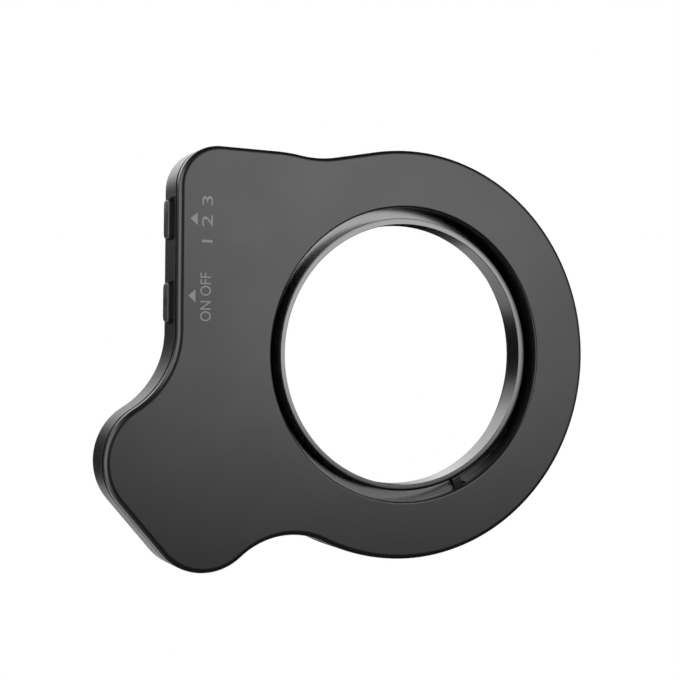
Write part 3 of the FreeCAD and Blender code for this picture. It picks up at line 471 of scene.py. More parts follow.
def applied_mesh(thing):
    """Mesh of an object as Blender shows it, with its modifiers or its letters worked out."""
    return bpy.data.meshes.new_from_object(thing.evaluated_get(bpy.context.evaluated_depsgraph_get()))


def cut_with(piece, cutters):
    """Cut closed cutters out of a piece, keep its finish and drop the cutters."""
    finish = piece.data.materials[0]
    for cutter in cutters:
        modifier = piece.modifiers.new("cut", "BOOLEAN")
        modifier.operation = "DIFFERENCE"
        modifier.object = cutter
        modifier.solver = "EXACT"
    shape = applied_mesh(piece)
    piece.modifiers.clear()
    piece.data = shape
    shade(shape)
    dress(piece, finish)
    for cutter in cutters:
        bpy.data.objects.remove(cutter)


print("edges over", round(math.degrees(SHARP_ANGLE)), "degrees stay crisp")

# %% [markdown]
# ## Grain that several finishes share
#
# Moulded plastic, sprayed paint and turned metal all catch the light a little unevenly. An image could hold
# that grain, but noise has no seams and no resolution. One node group gives it: its height goes to a bump,
# and a second, larger noise varies the roughness.

# %% Shared shader group
GRAIN_SCALE = 2500.0
GRAIN_DETAIL = 2.0
PATCH_SCALE = 60.0
PATCH_DETAIL = 3.0
PATCH_RANGE = (0.35, 0.65)
GRAIN_INPUTS = {
    "Grain Scale": GRAIN_SCALE,
    "Patch Scale": PATCH_SCALE,
    "Roughness Low": 0.4,
    "Roughness High": 0.5,
}


def new_group(name, inputs, outputs):
    """Empty shader group with float inputs, each with its default, and float outputs."""
    group = bpy.data.node_groups.new(name, "ShaderNodeTree")
    new_socket = group.interface.new_socket
    for label, value in inputs.items():
        socket = new_socket(label, in_out="INPUT", socket_type="NodeSocketFloat")
        socket.default_value = value
    for label in outputs:
        new_socket(label, in_out="OUTPUT", socket_type="NodeSocketFloat")
    return group, group.nodes.new("NodeGroupInput"), group.nodes.new("NodeGroupOutput")


def make_grain_group():
    group, source, sink = new_group("fine_grain", GRAIN_INPUTS, ["Height", "Roughness"])
    place = group.nodes.new("ShaderNodeTexCoord")
    grain = group.nodes.new("ShaderNodeTexNoise")
    grain.inputs["Detail"].default_value = GRAIN_DETAIL
    patch = group.nodes.new("ShaderNodeTexNoise")
    patch.inputs["Detail"].default_value = PATCH_DETAIL
    spread = group.nodes.new("ShaderNodeMapRange")
    link = group.links.new
    link(place.outputs["Object"], grain.inputs["Vector"])
    link(place.outputs["Object"], patch.inputs["Vector"])
    link(source.outputs["Grain Scale"], grain.inputs["Scale"])
    link(source.outputs["Patch Scale"], patch.inputs["Scale"])
    link(patch.outputs["Fac"], spread.inputs["Value"])
    spread.inputs["From Min"].default_value = PATCH_RANGE[0]
    spread.inputs["From Max"].default_value = PATCH_RANGE[1]
    link(source.outputs["Roughness Low"], spread.inputs["To Min"])
    link(source.outputs["Roughness High"], spread.inputs["To Max"])
    link(grain.outputs["Fac"], sink.inputs["Height"])
    link(spread.outputs["Result"], sink.inputs["Roughness"])
    return group


GRAIN = make_grain_group()
print("shared group:", GRAIN.name)

# %% [markdown]
# ## Finishes
#
# The cover and the case look alike in the photo: near black, satin, with soft wide highlights. The ring is
# the same grey as bare anodised metal. Each finish is one short call, so that they can be read side by
# side: the colour, the lowest and the highest roughness, and what else the surface needs.

# %% Finishes
BUMP_MM = 0.02


def grained(name, color, low, high, bump=0.02, **fixed):
    """Principled material with the fine grain; fixed values go straight to the shader's sockets."""
    material = bpy.data.materials.new(name)
    material.use_nodes = True
    tree = material.node_tree
    shader = tree.nodes["Principled BSDF"]
    shader.inputs["Base Color"].default_value = (*color, 1.0)
    for socket, value in fixed.items():
        shader.inputs[socket.replace("_", " ")].default_value = value
    grain = tree.nodes.new("ShaderNodeGroup")
    grain.node_tree = GRAIN
    grain.inputs["Grain Scale"].default_value = GRAIN_SCALE
    grain.inputs["Roughness Low"].default_value = low
    grain.inputs["Roughness High"].default_value = high
    bumps = tree.nodes.new("ShaderNodeBump")
    bumps.inputs["Strength"].default_value = bump
    bumps.inputs["Distance"].default_value = BUMP_MM * MM
    tree.links.new(grain.outputs["Height"], bumps.inputs["Height"])
    tree.links.new(grain.outputs["Roughness"], shader.inputs["Roughness"])
    tree.links.new(bumps.outputs["Normal"], shader.inputs["Normal"])
    return material


FINISH = {
    "cover_metal": grained("satin_black_cover", (0.009, 0.009, 0.0095), 0.30, 0.34, bump=0.04),
    "case_plastic": grained("moulded_black_case", (0.008, 0.008, 0.0085), 0.35, 0.39, bump=0.06),
    "ring_metal": grained("turned_grey_ring", (0.11, 0.11, 0.11), 0.22, 0.26, bump=0.01, Metallic=1.0),
    "catch_metal": grained("blackened_catch", (0.03, 0.03, 0.03), 0.32, 0.4),
    "spring_steel": grained("spring_steel", (0.6, 0.6, 0.6), 0.2, 0.3, Metallic=1.0),
    "diffuser": grained("milky_window", (0.85, 0.85, 0.83), 0.45, 0.55),
    "white_plastic": grained("white_reflector", (0.85, 0.85, 0.83), 0.3, 0.4),
    "board": grained("green_board", (0.02, 0.12, 0.05), 0.3, 0.4),
    "lamp_cool": grained("cool_lamp", (0.8, 0.8, 0.6), 0.3, 0.4),
    "lamp_warm": grained("warm_lamp", (0.9, 0.6, 0.2), 0.3, 0.4),
    "screw_steel": grained("screw_steel", (0.55, 0.55, 0.57), 0.25, 0.35, Metallic=1.0),
    "chip": grained("black_moulding", (0.02, 0.02, 0.022), 0.45, 0.55),
    "port_steel": grained("port_steel", (0.6, 0.6, 0.62), 0.22, 0.3, Metallic=1.0),
    "light_pipe": grained("clear_pipe", (0.9, 0.95, 1.0), 0.1, 0.15, Transmission_Weight=0.8),
    "cell_foil": grained("cell_foil", (0.6, 0.6, 0.62), 0.35, 0.5, Metallic=1.0),
    "foam": grained("foam_tape", (0.03, 0.03, 0.03), 0.8, 0.9, bump=0.4),
    "connector": grained("natural_nylon", (0.8, 0.78, 0.7), 0.4, 0.5),
    "wire": grained("red_wire", (0.45, 0.03, 0.02), 0.4, 0.5),
    "button_plastic": grained("satin_button", (0.011, 0.011, 0.0115), 0.44, 0.5, bump=0.08),
}
node_slot = {part["node"]: part["material_slot"] for part in frame["record"]["subparts"]}
for name, node in nodes.items():
    dress(node, FINISH[node_slot[name]])
print("finishes:", len(FINISH))

# %% [markdown]
# ## The rear cover
#
# The plate is flat, with a rounded outer edge, a small round at the hole and a tongue that drops into the
# case. An extruded curve with one bevel would give both edges the same round, and the photo shows two. So
# it is one skin that runs from the hole, over the face, round the edge and back inside. The face lies a
# hair below the frame's own, so that the film printed on it stays inside the drawing's box.

# %% Rear cover
COVER_EDGE_DEPTH = 2.2
COVER_EDGE_R = 1.0
UNDER_EDGE_R = 0.4
FACE_DEPTH = 0.012
COVER_HOLE_R = 29.6
HOLE_EDGE_R = 0.4
TONGUE_INSET = 0.8
TONGUE_END = 3.3


def make_cover():
    hole = quarter((COVER_HOLE_R + HOLE_EDGE_R, HOLE_EDGE_R), HOLE_EDGE_R, 180, 270)
    edge = quarter((COVER_EDGE_R, COVER_EDGE_R + FACE_DEPTH), COVER_EDGE_R, 270, 180)
    under_depth = COVER_EDGE_DEPTH - UNDER_EDGE_R
    under = quarter((UNDER_EDGE_R, under_depth), UNDER_EDGE_R, 180, 90, steps=4)
    loops = ring_loops([(COVER_HOLE_R, COVER_THICKNESS), (COVER_HOLE_R, HOLE_EDGE_R + GUARD)])
    loops += ring_loops([(r, d + FACE_DEPTH) for r, d in hole])
    loops += ring_loops([(COVER_HOLE_R + HOLE_EDGE_R + GUARD, FACE_DEPTH)])
    loops += edge_loops([(COVER_EDGE_R + GUARD, FACE_DEPTH), *edge])
    loops += edge_loops([(0, COVER_EDGE_R + GUARD + FACE_DEPTH), (0, under_depth - GUARD), *under])
    loops += edge_loops([(UNDER_EDGE_R + GUARD, COVER_EDGE_DEPTH), (TONGUE_INSET, COVER_EDGE_DEPTH),
                         (TONGUE_INSET, TONGUE_END), (WALL, TONGUE_END), (WALL, COVER_THICKNESS)])
    return new_piece("cover_shell", skin(loops), "case", "cover_metal", ["rear_cover"])


tell(make_cover())

# %% [markdown]
# ## The front housing
#
# The housing is a tray: a side wall with a rounded front edge, a trough for the lamps and a collar round
# the bore. On the real object it is one moulding, so it is one skin here as well, and not a wall, a floor
# and a collar pushed together. The skin runs once round the whole section, from the rebate under the cover,
# over the front, through the window, along the collar and back up the inner wall.

# %% Housing shell
HOUSING_DEPTH = 2.7
CRISP_R = 0.06
FRONT_WALL = 1.2
FRONT_EDGE_R = 0.8
COLLAR_R = 27.5
FLARE_R = 28.2
FLARE_MARGIN = 0.3
WINDOW_INNER_R = 29.3
WINDOW_OUTER_R = 38.7
WINDOW_FLOOR_DEPTH = 6.0
TROUGH_R = 39.9


def trough_loop(depth):
    """Outer wall of the lamp trough; where the case is only as wide as the ring it hugs the inner wall."""
    loop = []
    for x, z, nx, nz in SPOTS:
        inner = math.hypot(x - nx * WALL, z - nz * WALL) - SLIP
        loop.append(on_ray(x, z, min(TROUGH_R, inner), depth))
    return loop


def make_housing():
    floor_depth = CASE_DEPTH - FRONT_WALL
    rear = quarter((CRISP_R, HOUSING_DEPTH + CRISP_R), CRISP_R, 270, 180, steps=4)
    front = quarter((FRONT_EDGE_R, CASE_DEPTH - FRONT_EDGE_R), FRONT_EDGE_R, 180, 90)
    outer_rim = quarter((WINDOW_OUTER_R + SOFT_R, CASE_DEPTH - SOFT_R), SOFT_R, 90, 180, steps=4)
    inner_rim = quarter((WINDOW_INNER_R - SOFT_R, CASE_DEPTH - SOFT_R), SOFT_R, 0, 90, steps=4)
    loops = edge_loops([(TONGUE_INSET - SLIP, TONGUE_END + SLIP), (TONGUE_INSET - SLIP, HOUSING_DEPTH),
                        (CRISP_R + GUARD, HOUSING_DEPTH), *rear, (0, HOUSING_DEPTH + CRISP_R + GUARD)])
    loops += edge_loops([(0, CASE_DEPTH - FRONT_EDGE_R - GUARD), *front, (FRONT_EDGE_R + GUARD, CASE_DEPTH)])
    loops += ring_loops([(WINDOW_OUTER_R + SOFT_R + GUARD, CASE_DEPTH), *outer_rim,
                         (WINDOW_OUTER_R, WINDOW_FLOOR_DEPTH), (WINDOW_INNER_R, WINDOW_FLOOR_DEPTH),
                         *inner_rim])
    loops += ring_loops([(FLARE_R + SOFT_R, CASE_DEPTH), (FLARE_R, CASE_DEPTH - SOFT_R),
                         (COLLAR_R, TUBE_END + FLARE_MARGIN), (COLLAR_R, SEAT_DEPTH)])
    loops += [trough_loop(SEAT_DEPTH), trough_loop(floor_depth)]
    loops += edge_loops([(WALL, floor_depth), (WALL, TONGUE_END + SLIP)])
    return new_piece("housing_shell", skin(loops), "case", "case_plastic", ["front_housing"])


housing = make_housing()
tell(housing)

# %% [markdown]
# ## Windows in the housing
#
# Each button stands in a shallow pocket with sloped sides that reaches almost to the cover, and its window
# goes through the wall. The port has a slot with round ends, and the light pipe a round hole. A cutter is a
# short stack of loops that is closed at both ends, and the pieces that fill the holes use the same loops.

# %% Cutters
BUTTON_Z = {"power_button": 9.65, "mode_button": 25.6}
BUTTON_DEPTH = 6.8
BUTTON_LENGTH = 7.35
BUTTON_WIDTH = 3.4
BUTTON_CORNER_R = 0.7
BUTTON_GAP = 0.15
POCKET_DEPTH = 0.45
POCKET_SLOPE = 0.3
POCKET_END = 0.45
POCKET_REAR = 2.5
POCKET_FRONT = 0.55
PORT_X = -35.2
PORT_DEPTH = 6.4
PORT_WIDTH = 8.95
PORT_HEIGHT = 3.2
PORT_GAP = 0.15
PORT_SLOT_REACH = 0.8
PIPE_X = -43.0
PIPE_Z = 33.0
PIPE_R = 0.9
PIPE_STEPS = 48


def rounded_rectangle(low, high, radius, steps=6):
    """Points (u, v) of a rectangle with round corners, counter-clockwise."""
    corners = [(high[0] - radius, high[1] - radius, 0), (low[0] + radius, high[1] - radius, 90),
               (low[0] + radius, low[1] + radius, 180), (high[0] - radius, low[1] + radius, 270)]
    points = []
    for u, v, start in corners:
        for step in range(steps + 1):
            turn = math.radians(start + 90 * step / steps)
            points.append((u + radius * math.cos(turn), v + radius * math.sin(turn)))
    return points


def button_loop(name, x, end, rear, front):
    """Rounded rectangle round a button in the plane of the case's left side, larger by three margins."""
    low = (BUTTON_DEPTH - BUTTON_WIDTH / 2 - rear, BUTTON_Z[name] - BUTTON_LENGTH / 2 - end)
    high = (BUTTON_DEPTH + BUTTON_WIDTH / 2 + front, BUTTON_Z[name] + BUTTON_LENGTH / 2 + end)
    return [(x, REAR_Y + d, z) for d, z in rounded_rectangle(low, high, BUTTON_CORNER_R)]


def port_loop(grow, z):
    """Rounded slot of the port in a level plane, larger by grow."""
    low = (PORT_X - PORT_WIDTH / 2 - grow, PORT_DEPTH - PORT_HEIGHT / 2 - grow)
    high = (PORT_X + PORT_WIDTH / 2 + grow, PORT_DEPTH + PORT_HEIGHT / 2 + grow)
    return [(x, REAR_Y + d, z) for x, d in rounded_rectangle(low, high, PORT_HEIGHT / 2 + grow, steps=12)]


def pipe_loop(radius, depth):
    """Circle round the light pipe's axis."""
    return [(PIPE_X + u, REAR_Y + depth, PIPE_Z + v) for u, v in round_points(radius, PIPE_STEPS)]


def make_cutters():
    outside, inside = LEFT_EDGE_X - SLIP, LEFT_EDGE_X + WALL + SLIP
    mouth = (POCKET_END, POCKET_REAR, POCKET_FRONT)
    bottom = [margin - POCKET_SLOPE for margin in mouth]
    stacks = {}
    for name in BUTTON_Z:
        stacks[name + "_pocket"] = [button_loop(name, outside, *mouth),
                                    button_loop(name, LEFT_EDGE_X + POCKET_DEPTH, *bottom)]
        stacks[name + "_window"] = [button_loop(name, x, BUTTON_GAP, BUTTON_GAP, BUTTON_GAP)
                                    for x in (outside, inside)]
    slot_ends = (TOP_EDGE_Z - WALL - PORT_SLOT_REACH, TOP_EDGE_Z + SLIP)
    stacks["port_slot"] = [port_loop(PORT_GAP, z) for z in slot_ends]
    hole_ends = (CASE_DEPTH - FRONT_WALL - SLIP, CASE_DEPTH + SLIP)
    stacks["pipe_hole"] = [pipe_loop(PIPE_R + SLIP, d) for d in hole_ends]
    return [new_mesh(name, *capped(loops)) for name, loops in stacks.items()]


cut_with(housing, make_cutters())
tell(housing)

# %% [markdown]
# ## The lens ring
#
# The ring is turned from one bar: a tube that centres the phone's lens, a square channel round it and a
# flange that the cover sits on. The tube's rim is flat, with a narrow outer band that falls away by some
# ten degrees. That band mirrors another part of the studio, so it shows as a second ring of grey. A Screw
# modifier could turn the section too; here it is a lathe profile of (radius, depth), which says all of that
# as the machinist's drawing would. The catch's slot is cut afterwards.

# %% Lens ring
TUBE_R = 27.4
TUBE_REAR_R = 27.5
TUBE_REAR_DEPTH = 1.45
TUBE_RIM_R = 0.06
TUBE_RIM_CHAMFER = 0.1
RIM_BAND_WIDTH = 0.45
RIM_BAND_FALL = 0.08
RIM_ROUND_START = -80
CHANNEL_WALL_R = 29.9
CHANNEL_FLOOR_DEPTH = 4.75
CHANNEL_CORNER_R = 0.08
FLANGE_R = 30.9
CATCH_ANGLE = -63.0
CATCH_HALF = 1.0
CATCH_GAP = 0.1
FOOT_GAP = 0.15
FOOT_END = CHANNEL_FLOOR_DEPTH - FOOT_GAP
SLOT_LEAD = 0.2
SLOT_CORNER_R = 0.1


def at_catch(r, depth, across):
    """Point from the catch's own frame: radius, depth and distance across its middle line."""
    turn = math.radians(CATCH_ANGLE)
    return (r * math.cos(turn) - across * math.sin(turn), REAR_Y + depth,
            r * math.sin(turn) + across * math.cos(turn))


def catch_loop(r, start, end, half, radius):
    """Rounded rectangle across the catch's way of travel, at one radius."""
    return [at_catch(r, d, a) for d, a in rounded_rectangle((start, -half), (end, half), radius, steps=4)]


def ring_profile():
    """Section of the ring, from the bore over the tube's rim, through the channel and back below."""
    band_r = TUBE_REAR_R - RIM_BAND_WIDTH
    rim = (TUBE_REAR_R - TUBE_RIM_R, TUBE_REAR_DEPTH + RIM_BAND_FALL + TUBE_RIM_R)
    corner = (CHANNEL_WALL_R - CHANNEL_CORNER_R, CHANNEL_FLOOR_DEPTH - CHANNEL_CORNER_R)
    profile = [(BORE_R, TUBE_END - SOFT_R), (BORE_R, TUBE_REAR_DEPTH + TUBE_RIM_CHAMFER),
               (BORE_R + TUBE_RIM_CHAMFER, TUBE_REAR_DEPTH), (band_r - GUARD, TUBE_REAR_DEPTH),
               (band_r + GUARD, TUBE_REAR_DEPTH + RIM_BAND_FALL * GUARD / RIM_BAND_WIDTH)]
    profile += quarter(rim, TUBE_RIM_R, RIM_ROUND_START, 0, steps=4)
    profile += [(TUBE_REAR_R, rim[1] + GUARD), (TUBE_REAR_R, CHANNEL_FLOOR_DEPTH),
                (corner[0] - GUARD, CHANNEL_FLOOR_DEPTH)]
    profile += quarter(corner, CHANNEL_CORNER_R, 90, 0, steps=12)
    profile += [(CHANNEL_WALL_R, corner[1] - GUARD), (CHANNEL_WALL_R, COVER_THICKNESS),
                (FLANGE_R, COVER_THICKNESS), (FLANGE_R, SEAT_DEPTH), (TUBE_R, SEAT_DEPTH),
                (TUBE_R, TUBE_END - SOFT_R), (TUBE_R - SOFT_R, TUBE_END), (BORE_R + SOFT_R, TUBE_END)]
    return profile


def make_lens_ring():
    ring = new_piece("lens_ring_turned", lathe(ring_profile()), "case", "ring_metal", ["lens_ring"])
    start, end, half = COVER_THICKNESS - SLOT_LEAD, FOOT_END + CATCH_GAP, CATCH_HALF + CATCH_GAP
    slot = [catch_loop(r, start, end, half, SLOT_CORNER_R)
            for r in (TUBE_REAR_R + CATCH_GAP, FLANGE_R + CATCH_GAP)]
    cut_with(ring, [new_mesh("catch_slot", *capped(slot))])
    return ring


tell(make_lens_ring())

# %% [markdown]
# ## The catch
#
# The catch's foot comes through the slot just above the channel's floor. Beside the tube it carries two
# rows of three small bumps for the fingertip, like the knurl on a watch crown, and behind them it steps
# down, so that part stays dark. A bump map would do for a smaller part, but here the light has to catch the
# tops and miss the gaps, so the bumps are real half balls, and high for their width.

# %% Catch
CATCH_START = 2.4
CATCH_END = 3.85
CATCH_HEAD_R = 31.1
CATCH_HEAD_LENGTH = 1.5
CATCH_HEAD_HALF = 1.9
CATCH_HEAD_MARGIN = 0.2
CATCH_HEAD_CORNER_R = 0.2
PAD_TIP_R = 27.95
PAD_END_R = 29.12
PAD_DEPTH = 3.8
PAD_STEP = 0.4
PAD_SET_BACK = 0.25
PAD_SOFT = 0.08
BUMP_ROWS_R = (28.26, 28.86)
BUMP_PITCH = 0.62
BUMP_WIDTH = 0.27
BUMP_LENGTH = 0.24
BUMP_HEIGHT = 0.28
BUMP_BASE_DEPTH = PAD_DEPTH + SLIP / 2
BUMP_LEVELS = 4
BUMP_STEPS = 12


def make_bump(r, across):
    """Half ball on the foot, stretched in its three directions."""
    loops = []
    for level in range(BUMP_LEVELS):
        rise = math.radians(90 * level / BUMP_LEVELS)
        depth = BUMP_BASE_DEPTH - BUMP_HEIGHT * math.sin(rise)
        loops.append([at_catch(r - v * BUMP_LENGTH, depth, across + u * BUMP_WIDTH)
                      for u, v in round_points(math.cos(rise), BUMP_STEPS)])
    vertices, faces = skin(loops, around=False)
    tip = len(vertices)
    last = tip - BUMP_STEPS
    vertices.append(at_catch(r, BUMP_BASE_DEPTH - BUMP_HEIGHT, across))
    faces.append(tuple(range(BUMP_STEPS)))
    faces += [(last + step, last + (step + 1) % BUMP_STEPS, tip) for step in range(BUMP_STEPS)]
    return vertices, faces


def make_catch():
    back, low = CHANNEL_WALL_R + PAD_SET_BACK, PAD_DEPTH + PAD_STEP
    section = [(CATCH_HEAD_R, CATCH_START), (back, CATCH_START), (back, low), (PAD_END_R, low),
               (PAD_END_R, PAD_DEPTH), (PAD_TIP_R + PAD_SOFT, PAD_DEPTH), (PAD_TIP_R, PAD_DEPTH + PAD_SOFT),
               (PAD_TIP_R, FOOT_END - PAD_SOFT), (PAD_TIP_R + PAD_SOFT, FOOT_END), (CATCH_HEAD_R, FOOT_END)]
    foot = [[at_catch(r, d, across) for r, d in section] for across in (-CATCH_HALF, CATCH_HALF)]
    start, end = CATCH_START - CATCH_HEAD_MARGIN, CATCH_END + CATCH_HEAD_MARGIN
    head = [catch_loop(r, start, end, CATCH_HEAD_HALF, CATCH_HEAD_CORNER_R)
            for r in (CATCH_HEAD_R, CATCH_HEAD_R + CATCH_HEAD_LENGTH)]
    bumps = [make_bump(r, across) for r in BUMP_ROWS_R for across in (-BUMP_PITCH, 0.0, BUMP_PITCH)]
    shape = combined([capped(foot), capped(head), *bumps])
    return new_piece("catch_pad", shape, "catch", "catch_metal", ["lens_catch"])


tell(make_catch())

# %% [markdown]
# ## The leaf spring
#
# An arched leaf spring holds the catch in its slot. On the real part, when the catch is pushed outwards,
# the leaf gets flatter between the catch's head and its two stops; this script builds it in its resting
# arch only.

# %% Leaf spring
LEAF_CROWN_R = CATCH_HEAD_R + CATCH_HEAD_LENGTH + SLIP
LEAF_THICKNESS = 0.2
LEAF_WIDTH = 1.9
LEAF_CORNER_R = 0.06
LEAF_ARCH = 1.2
LEAF_HALF_SPAN = 3.7
LEAF_STEPS = 24


def make_leaf():
    slide = next(joint for joint in frame["joints"] if joint["name"] == "catch_slide")
    outwards = Vector(slide["axis"])
    side = Vector((-outwards.z, 0, outwards.x))
    middle = (CATCH_START + CATCH_END) / 2
    low = (LEAF_CROWN_R, middle - LEAF_WIDTH / 2)
    high = (LEAF_CROWN_R + LEAF_THICKNESS, middle + LEAF_WIDTH / 2)
    section = rounded_rectangle(low, high, LEAF_CORNER_R, steps=3)
    loops = []
    for step in range(LEAF_STEPS + 1):
        share = 2 * step / LEAF_STEPS - 1
        across, rise = share * LEAF_HALF_SPAN, share ** 2 * LEAF_ARCH
        loops.append([tuple(outwards * (r + rise) + side * across + Vector((0, REAR_Y + d, 0)))
                      for r, d in section])
    leaf = new_piece("catch_leaf", capped(loops), "case", "spring_steel", ["catch_spring"])
    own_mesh(leaf)
    return leaf


tell(make_leaf())

# %% [markdown]
# ## The buttons
#
# A button is a moulded cap with a bevelled face; inside the wall it has a longer foot that keeps it from
# falling out, and a stem that reaches the switch. A raised sign tells the two apart by touch: a ring with a
# bar for power, three short bars for the brightness. Text objects or a bump map could draw the signs, but
# as solid bars they also catch the light along their edges.

# %% Buttons
BUTTON_STAND = 0.72
SIGN_TOP_X = LEFT_EDGE_X - BUTTON_STAND
SIGN_HEIGHT = 0.08
BUTTON_FACE_X = SIGN_TOP_X + SIGN_HEIGHT
SIGN_ROOT_X = BUTTON_FACE_X + SLIP
BUTTON_CHAMFER = 0.2
BUTTON_SOFT = 0.05
FOOT_X = LEFT_EDGE_X + WALL + SLIP
FOOT_THICKNESS = 0.6
FOOT_TAB = 0.8
STEM_R = 0.9
STEM_LENGTH = 0.5
STEM_STEPS = 32
POWER_LINE = 0.22
POWER_RING_R = 0.75
POWER_RING_ARC = (35, 325)
POWER_RING_STEPS = 20
POWER_BAR_Z = 0.65
POWER_BAR_LENGTH = 0.75
MODE_BAR_PITCH = 0.7
MODE_BAR_LENGTH = 1.5
MODE_BAR_WIDTH = 0.25
BAR_ROUNDNESS = 2.01


def sign_bar(name, z, deep, tall):
    """Raised bar on a button's face; its ends are a hair less than half round, so no two points meet."""
    low, high = (BUTTON_DEPTH - deep / 2, z - tall / 2), (BUTTON_DEPTH + deep / 2, z + tall / 2)
    bar = rounded_rectangle(low, high, min(deep, tall) / BAR_ROUNDNESS, steps=4)
    return capped([[(x, REAR_Y + d, BUTTON_Z[name] + h) for d, h in bar] for x in (SIGN_ROOT_X, SIGN_TOP_X)])


def sign_arc(name):
    """Raised ring on a button's face, open at the top for a bar; angles run from straight up."""
    inner, outer = POWER_RING_R - POWER_LINE / 2, POWER_RING_R + POWER_LINE / 2
    section = [(inner, SIGN_ROOT_X), (inner, SIGN_TOP_X), (outer, SIGN_TOP_X), (outer, SIGN_ROOT_X)]
    start, end = POWER_RING_ARC
    loops = []
    for step in range(POWER_RING_STEPS + 1):
        turn = math.radians(start + (end - start) * step / POWER_RING_STEPS)
        loops.append([(x, REAR_Y + BUTTON_DEPTH + r * math.sin(turn), BUTTON_Z[name] + r * math.cos(turn))
                      for r, x in section])
    return capped(loops)


def button_signs(name):
    """The raised shapes that tell one button from the other."""
    if name == "power_button":
        return [sign_arc(name), sign_bar(name, POWER_BAR_Z, POWER_LINE, POWER_BAR_LENGTH)]
    places = (-MODE_BAR_PITCH, 0.0, MODE_BAR_PITCH)
    return [sign_bar(name, z, MODE_BAR_LENGTH, MODE_BAR_WIDTH) for z in places]


def make_button(name):
    bevel_x = BUTTON_FACE_X + BUTTON_CHAMFER
    sections = [(FOOT_X + SLIP, 0), (bevel_x + BUTTON_SOFT, 0), (bevel_x - BUTTON_SOFT, -BUTTON_SOFT),
                (BUTTON_FACE_X + BUTTON_SOFT, BUTTON_SOFT - BUTTON_CHAMFER),
                (BUTTON_FACE_X, -BUTTON_SOFT - BUTTON_CHAMFER)]
    cap = [button_loop(name, x, grow, grow, grow) for x, grow in sections]
    foot = [button_loop(name, x, FOOT_TAB, 0, 0) for x in (FOOT_X, FOOT_X + FOOT_THICKNESS)]
    stem = [[(x, REAR_Y + BUTTON_DEPTH + u, BUTTON_Z[name] + v) for u, v in round_points(STEM_R, STEM_STEPS)]
            for x in (FOOT_X + FOOT_THICKNESS - SLIP, FOOT_X + FOOT_THICKNESS + STEM_LENGTH)]
    shape = combined([capped(cap), capped(foot), capped(stem), *button_signs(name)])
    return new_piece(name + "_cap", shape, name, "button_plastic", [name])


tell(make_button("power_button"), make_button("mode_button"))

# %% [markdown]
# ## The charging port
#
# The port is a drawn steel shell with a tongue inside, sunk a little below the case's edge. The shell could
# be a tube with the Solidify modifier, but its mouth has a round lip, so it is one stack of loops that goes
# up outside, over the lip and down inside to a closed back.

# %% Port
PORT_SET_BACK = 0.5
PORT_LENGTH = 7.3
PORT_BACK = 1.0
PORT_WALL = 0.3
PORT_LIP = 0.08
TONGUE_SIZE = (6.7, 0.7, 4.5)
TONGUE_CORNER_R = 0.15
TONGUE_TAPER = 0.15
TONGUE_TIP_SHRINK = 0.12


def make_port():
    top = TOP_EDGE_Z - PORT_SET_BACK
    low = top - PORT_LENGTH
    rows = [(0, low), (0, top - PORT_LIP), (-PORT_LIP, top), (PORT_LIP - PORT_WALL, top),
            (-PORT_WALL, top - PORT_LIP), (-PORT_WALL, low + PORT_BACK)]
    shell = [port_loop(grow, z) for grow, z in rows]
    return new_piece("port_shell", capped(shell), "case", "port_steel", ["usb_shell"])


def make_tongue():
    width, thick, tall = TONGUE_SIZE
    root = TOP_EDGE_Z - PORT_SET_BACK - PORT_LENGTH + PORT_BACK
    loops = []
    for z, shrink in ((root, 0.0), (root + tall - TONGUE_TAPER, 0.0), (root + tall, TONGUE_TIP_SHRINK)):
        low = (PORT_X - width / 2 + shrink, PORT_DEPTH - thick / 2 + shrink)
        high = (PORT_X + width / 2 - shrink, PORT_DEPTH + thick / 2 - shrink)
        loops.append([(x, REAR_Y + d, z) for x, d in rounded_rectangle(low, high, TONGUE_CORNER_R, steps=4)])
    return new_piece("port_tongue", capped(loops), "case", "chip", ["usb_tongue"])


tell(make_port(), make_tongue())

# %% [markdown]
# ## The light pipe and the lamp window
#
# The charge light shows through a clear rod with a slightly domed end; a collar keeps it in the front wall.
# The lamp window is a milky ring with soft edges that sits in the housing's own ring-shaped opening. Both
# are plain turned parts, so loops on circles make them, and no modifier is needed.

# %% Light pipe and lamp window
PIPE_START = 5.8
PIPE_DOME = ((1.0, 0.15), (0.85, 0.05), (0.5, 0.0))
PIPE_COLLAR_R = 1.25
PIPE_COLLAR_DEPTHS = (7.6, 8.8)
DIFFUSER_GAP = 0.1
DIFFUSER_REAR = 8.6
DIFFUSER_FRONT = 9.7
DIFFUSER_SOFT = 0.3


def make_pipe():
    """Clear rod; its dome is given as shares of the radius and depths below the case's front."""
    stem = [pipe_loop(PIPE_R, PIPE_START)]
    stem += [pipe_loop(PIPE_R * share, CASE_DEPTH - below) for share, below in PIPE_DOME]
    collar = [pipe_loop(PIPE_COLLAR_R, d) for d in PIPE_COLLAR_DEPTHS]
    shape = combined([capped(stem), capped(collar)])
    return new_piece("clear_pipe", shape, "case", "light_pipe", ["charge_light_pipe"])


def make_window():
    inner, outer = WINDOW_INNER_R + DIFFUSER_GAP, WINDOW_OUTER_R - DIFFUSER_GAP
    soft_depth = DIFFUSER_FRONT - DIFFUSER_SOFT
    profile = [(inner, DIFFUSER_REAR), (outer, DIFFUSER_REAR), (outer, soft_depth - GUARD)]
    profile += quarter((outer - DIFFUSER_SOFT, soft_depth), DIFFUSER_SOFT, 0, 90, steps=5)
    profile += quarter((inner + DIFFUSER_SOFT, soft_depth), DIFFUSER_SOFT, 90, 180, steps=5)
    profile.append((inner, soft_depth - GUARD))
    return new_piece("lamp_window", lathe(profile), "case", "diffuser", ["diffuser_ring"])


tell(make_pipe(), make_window())

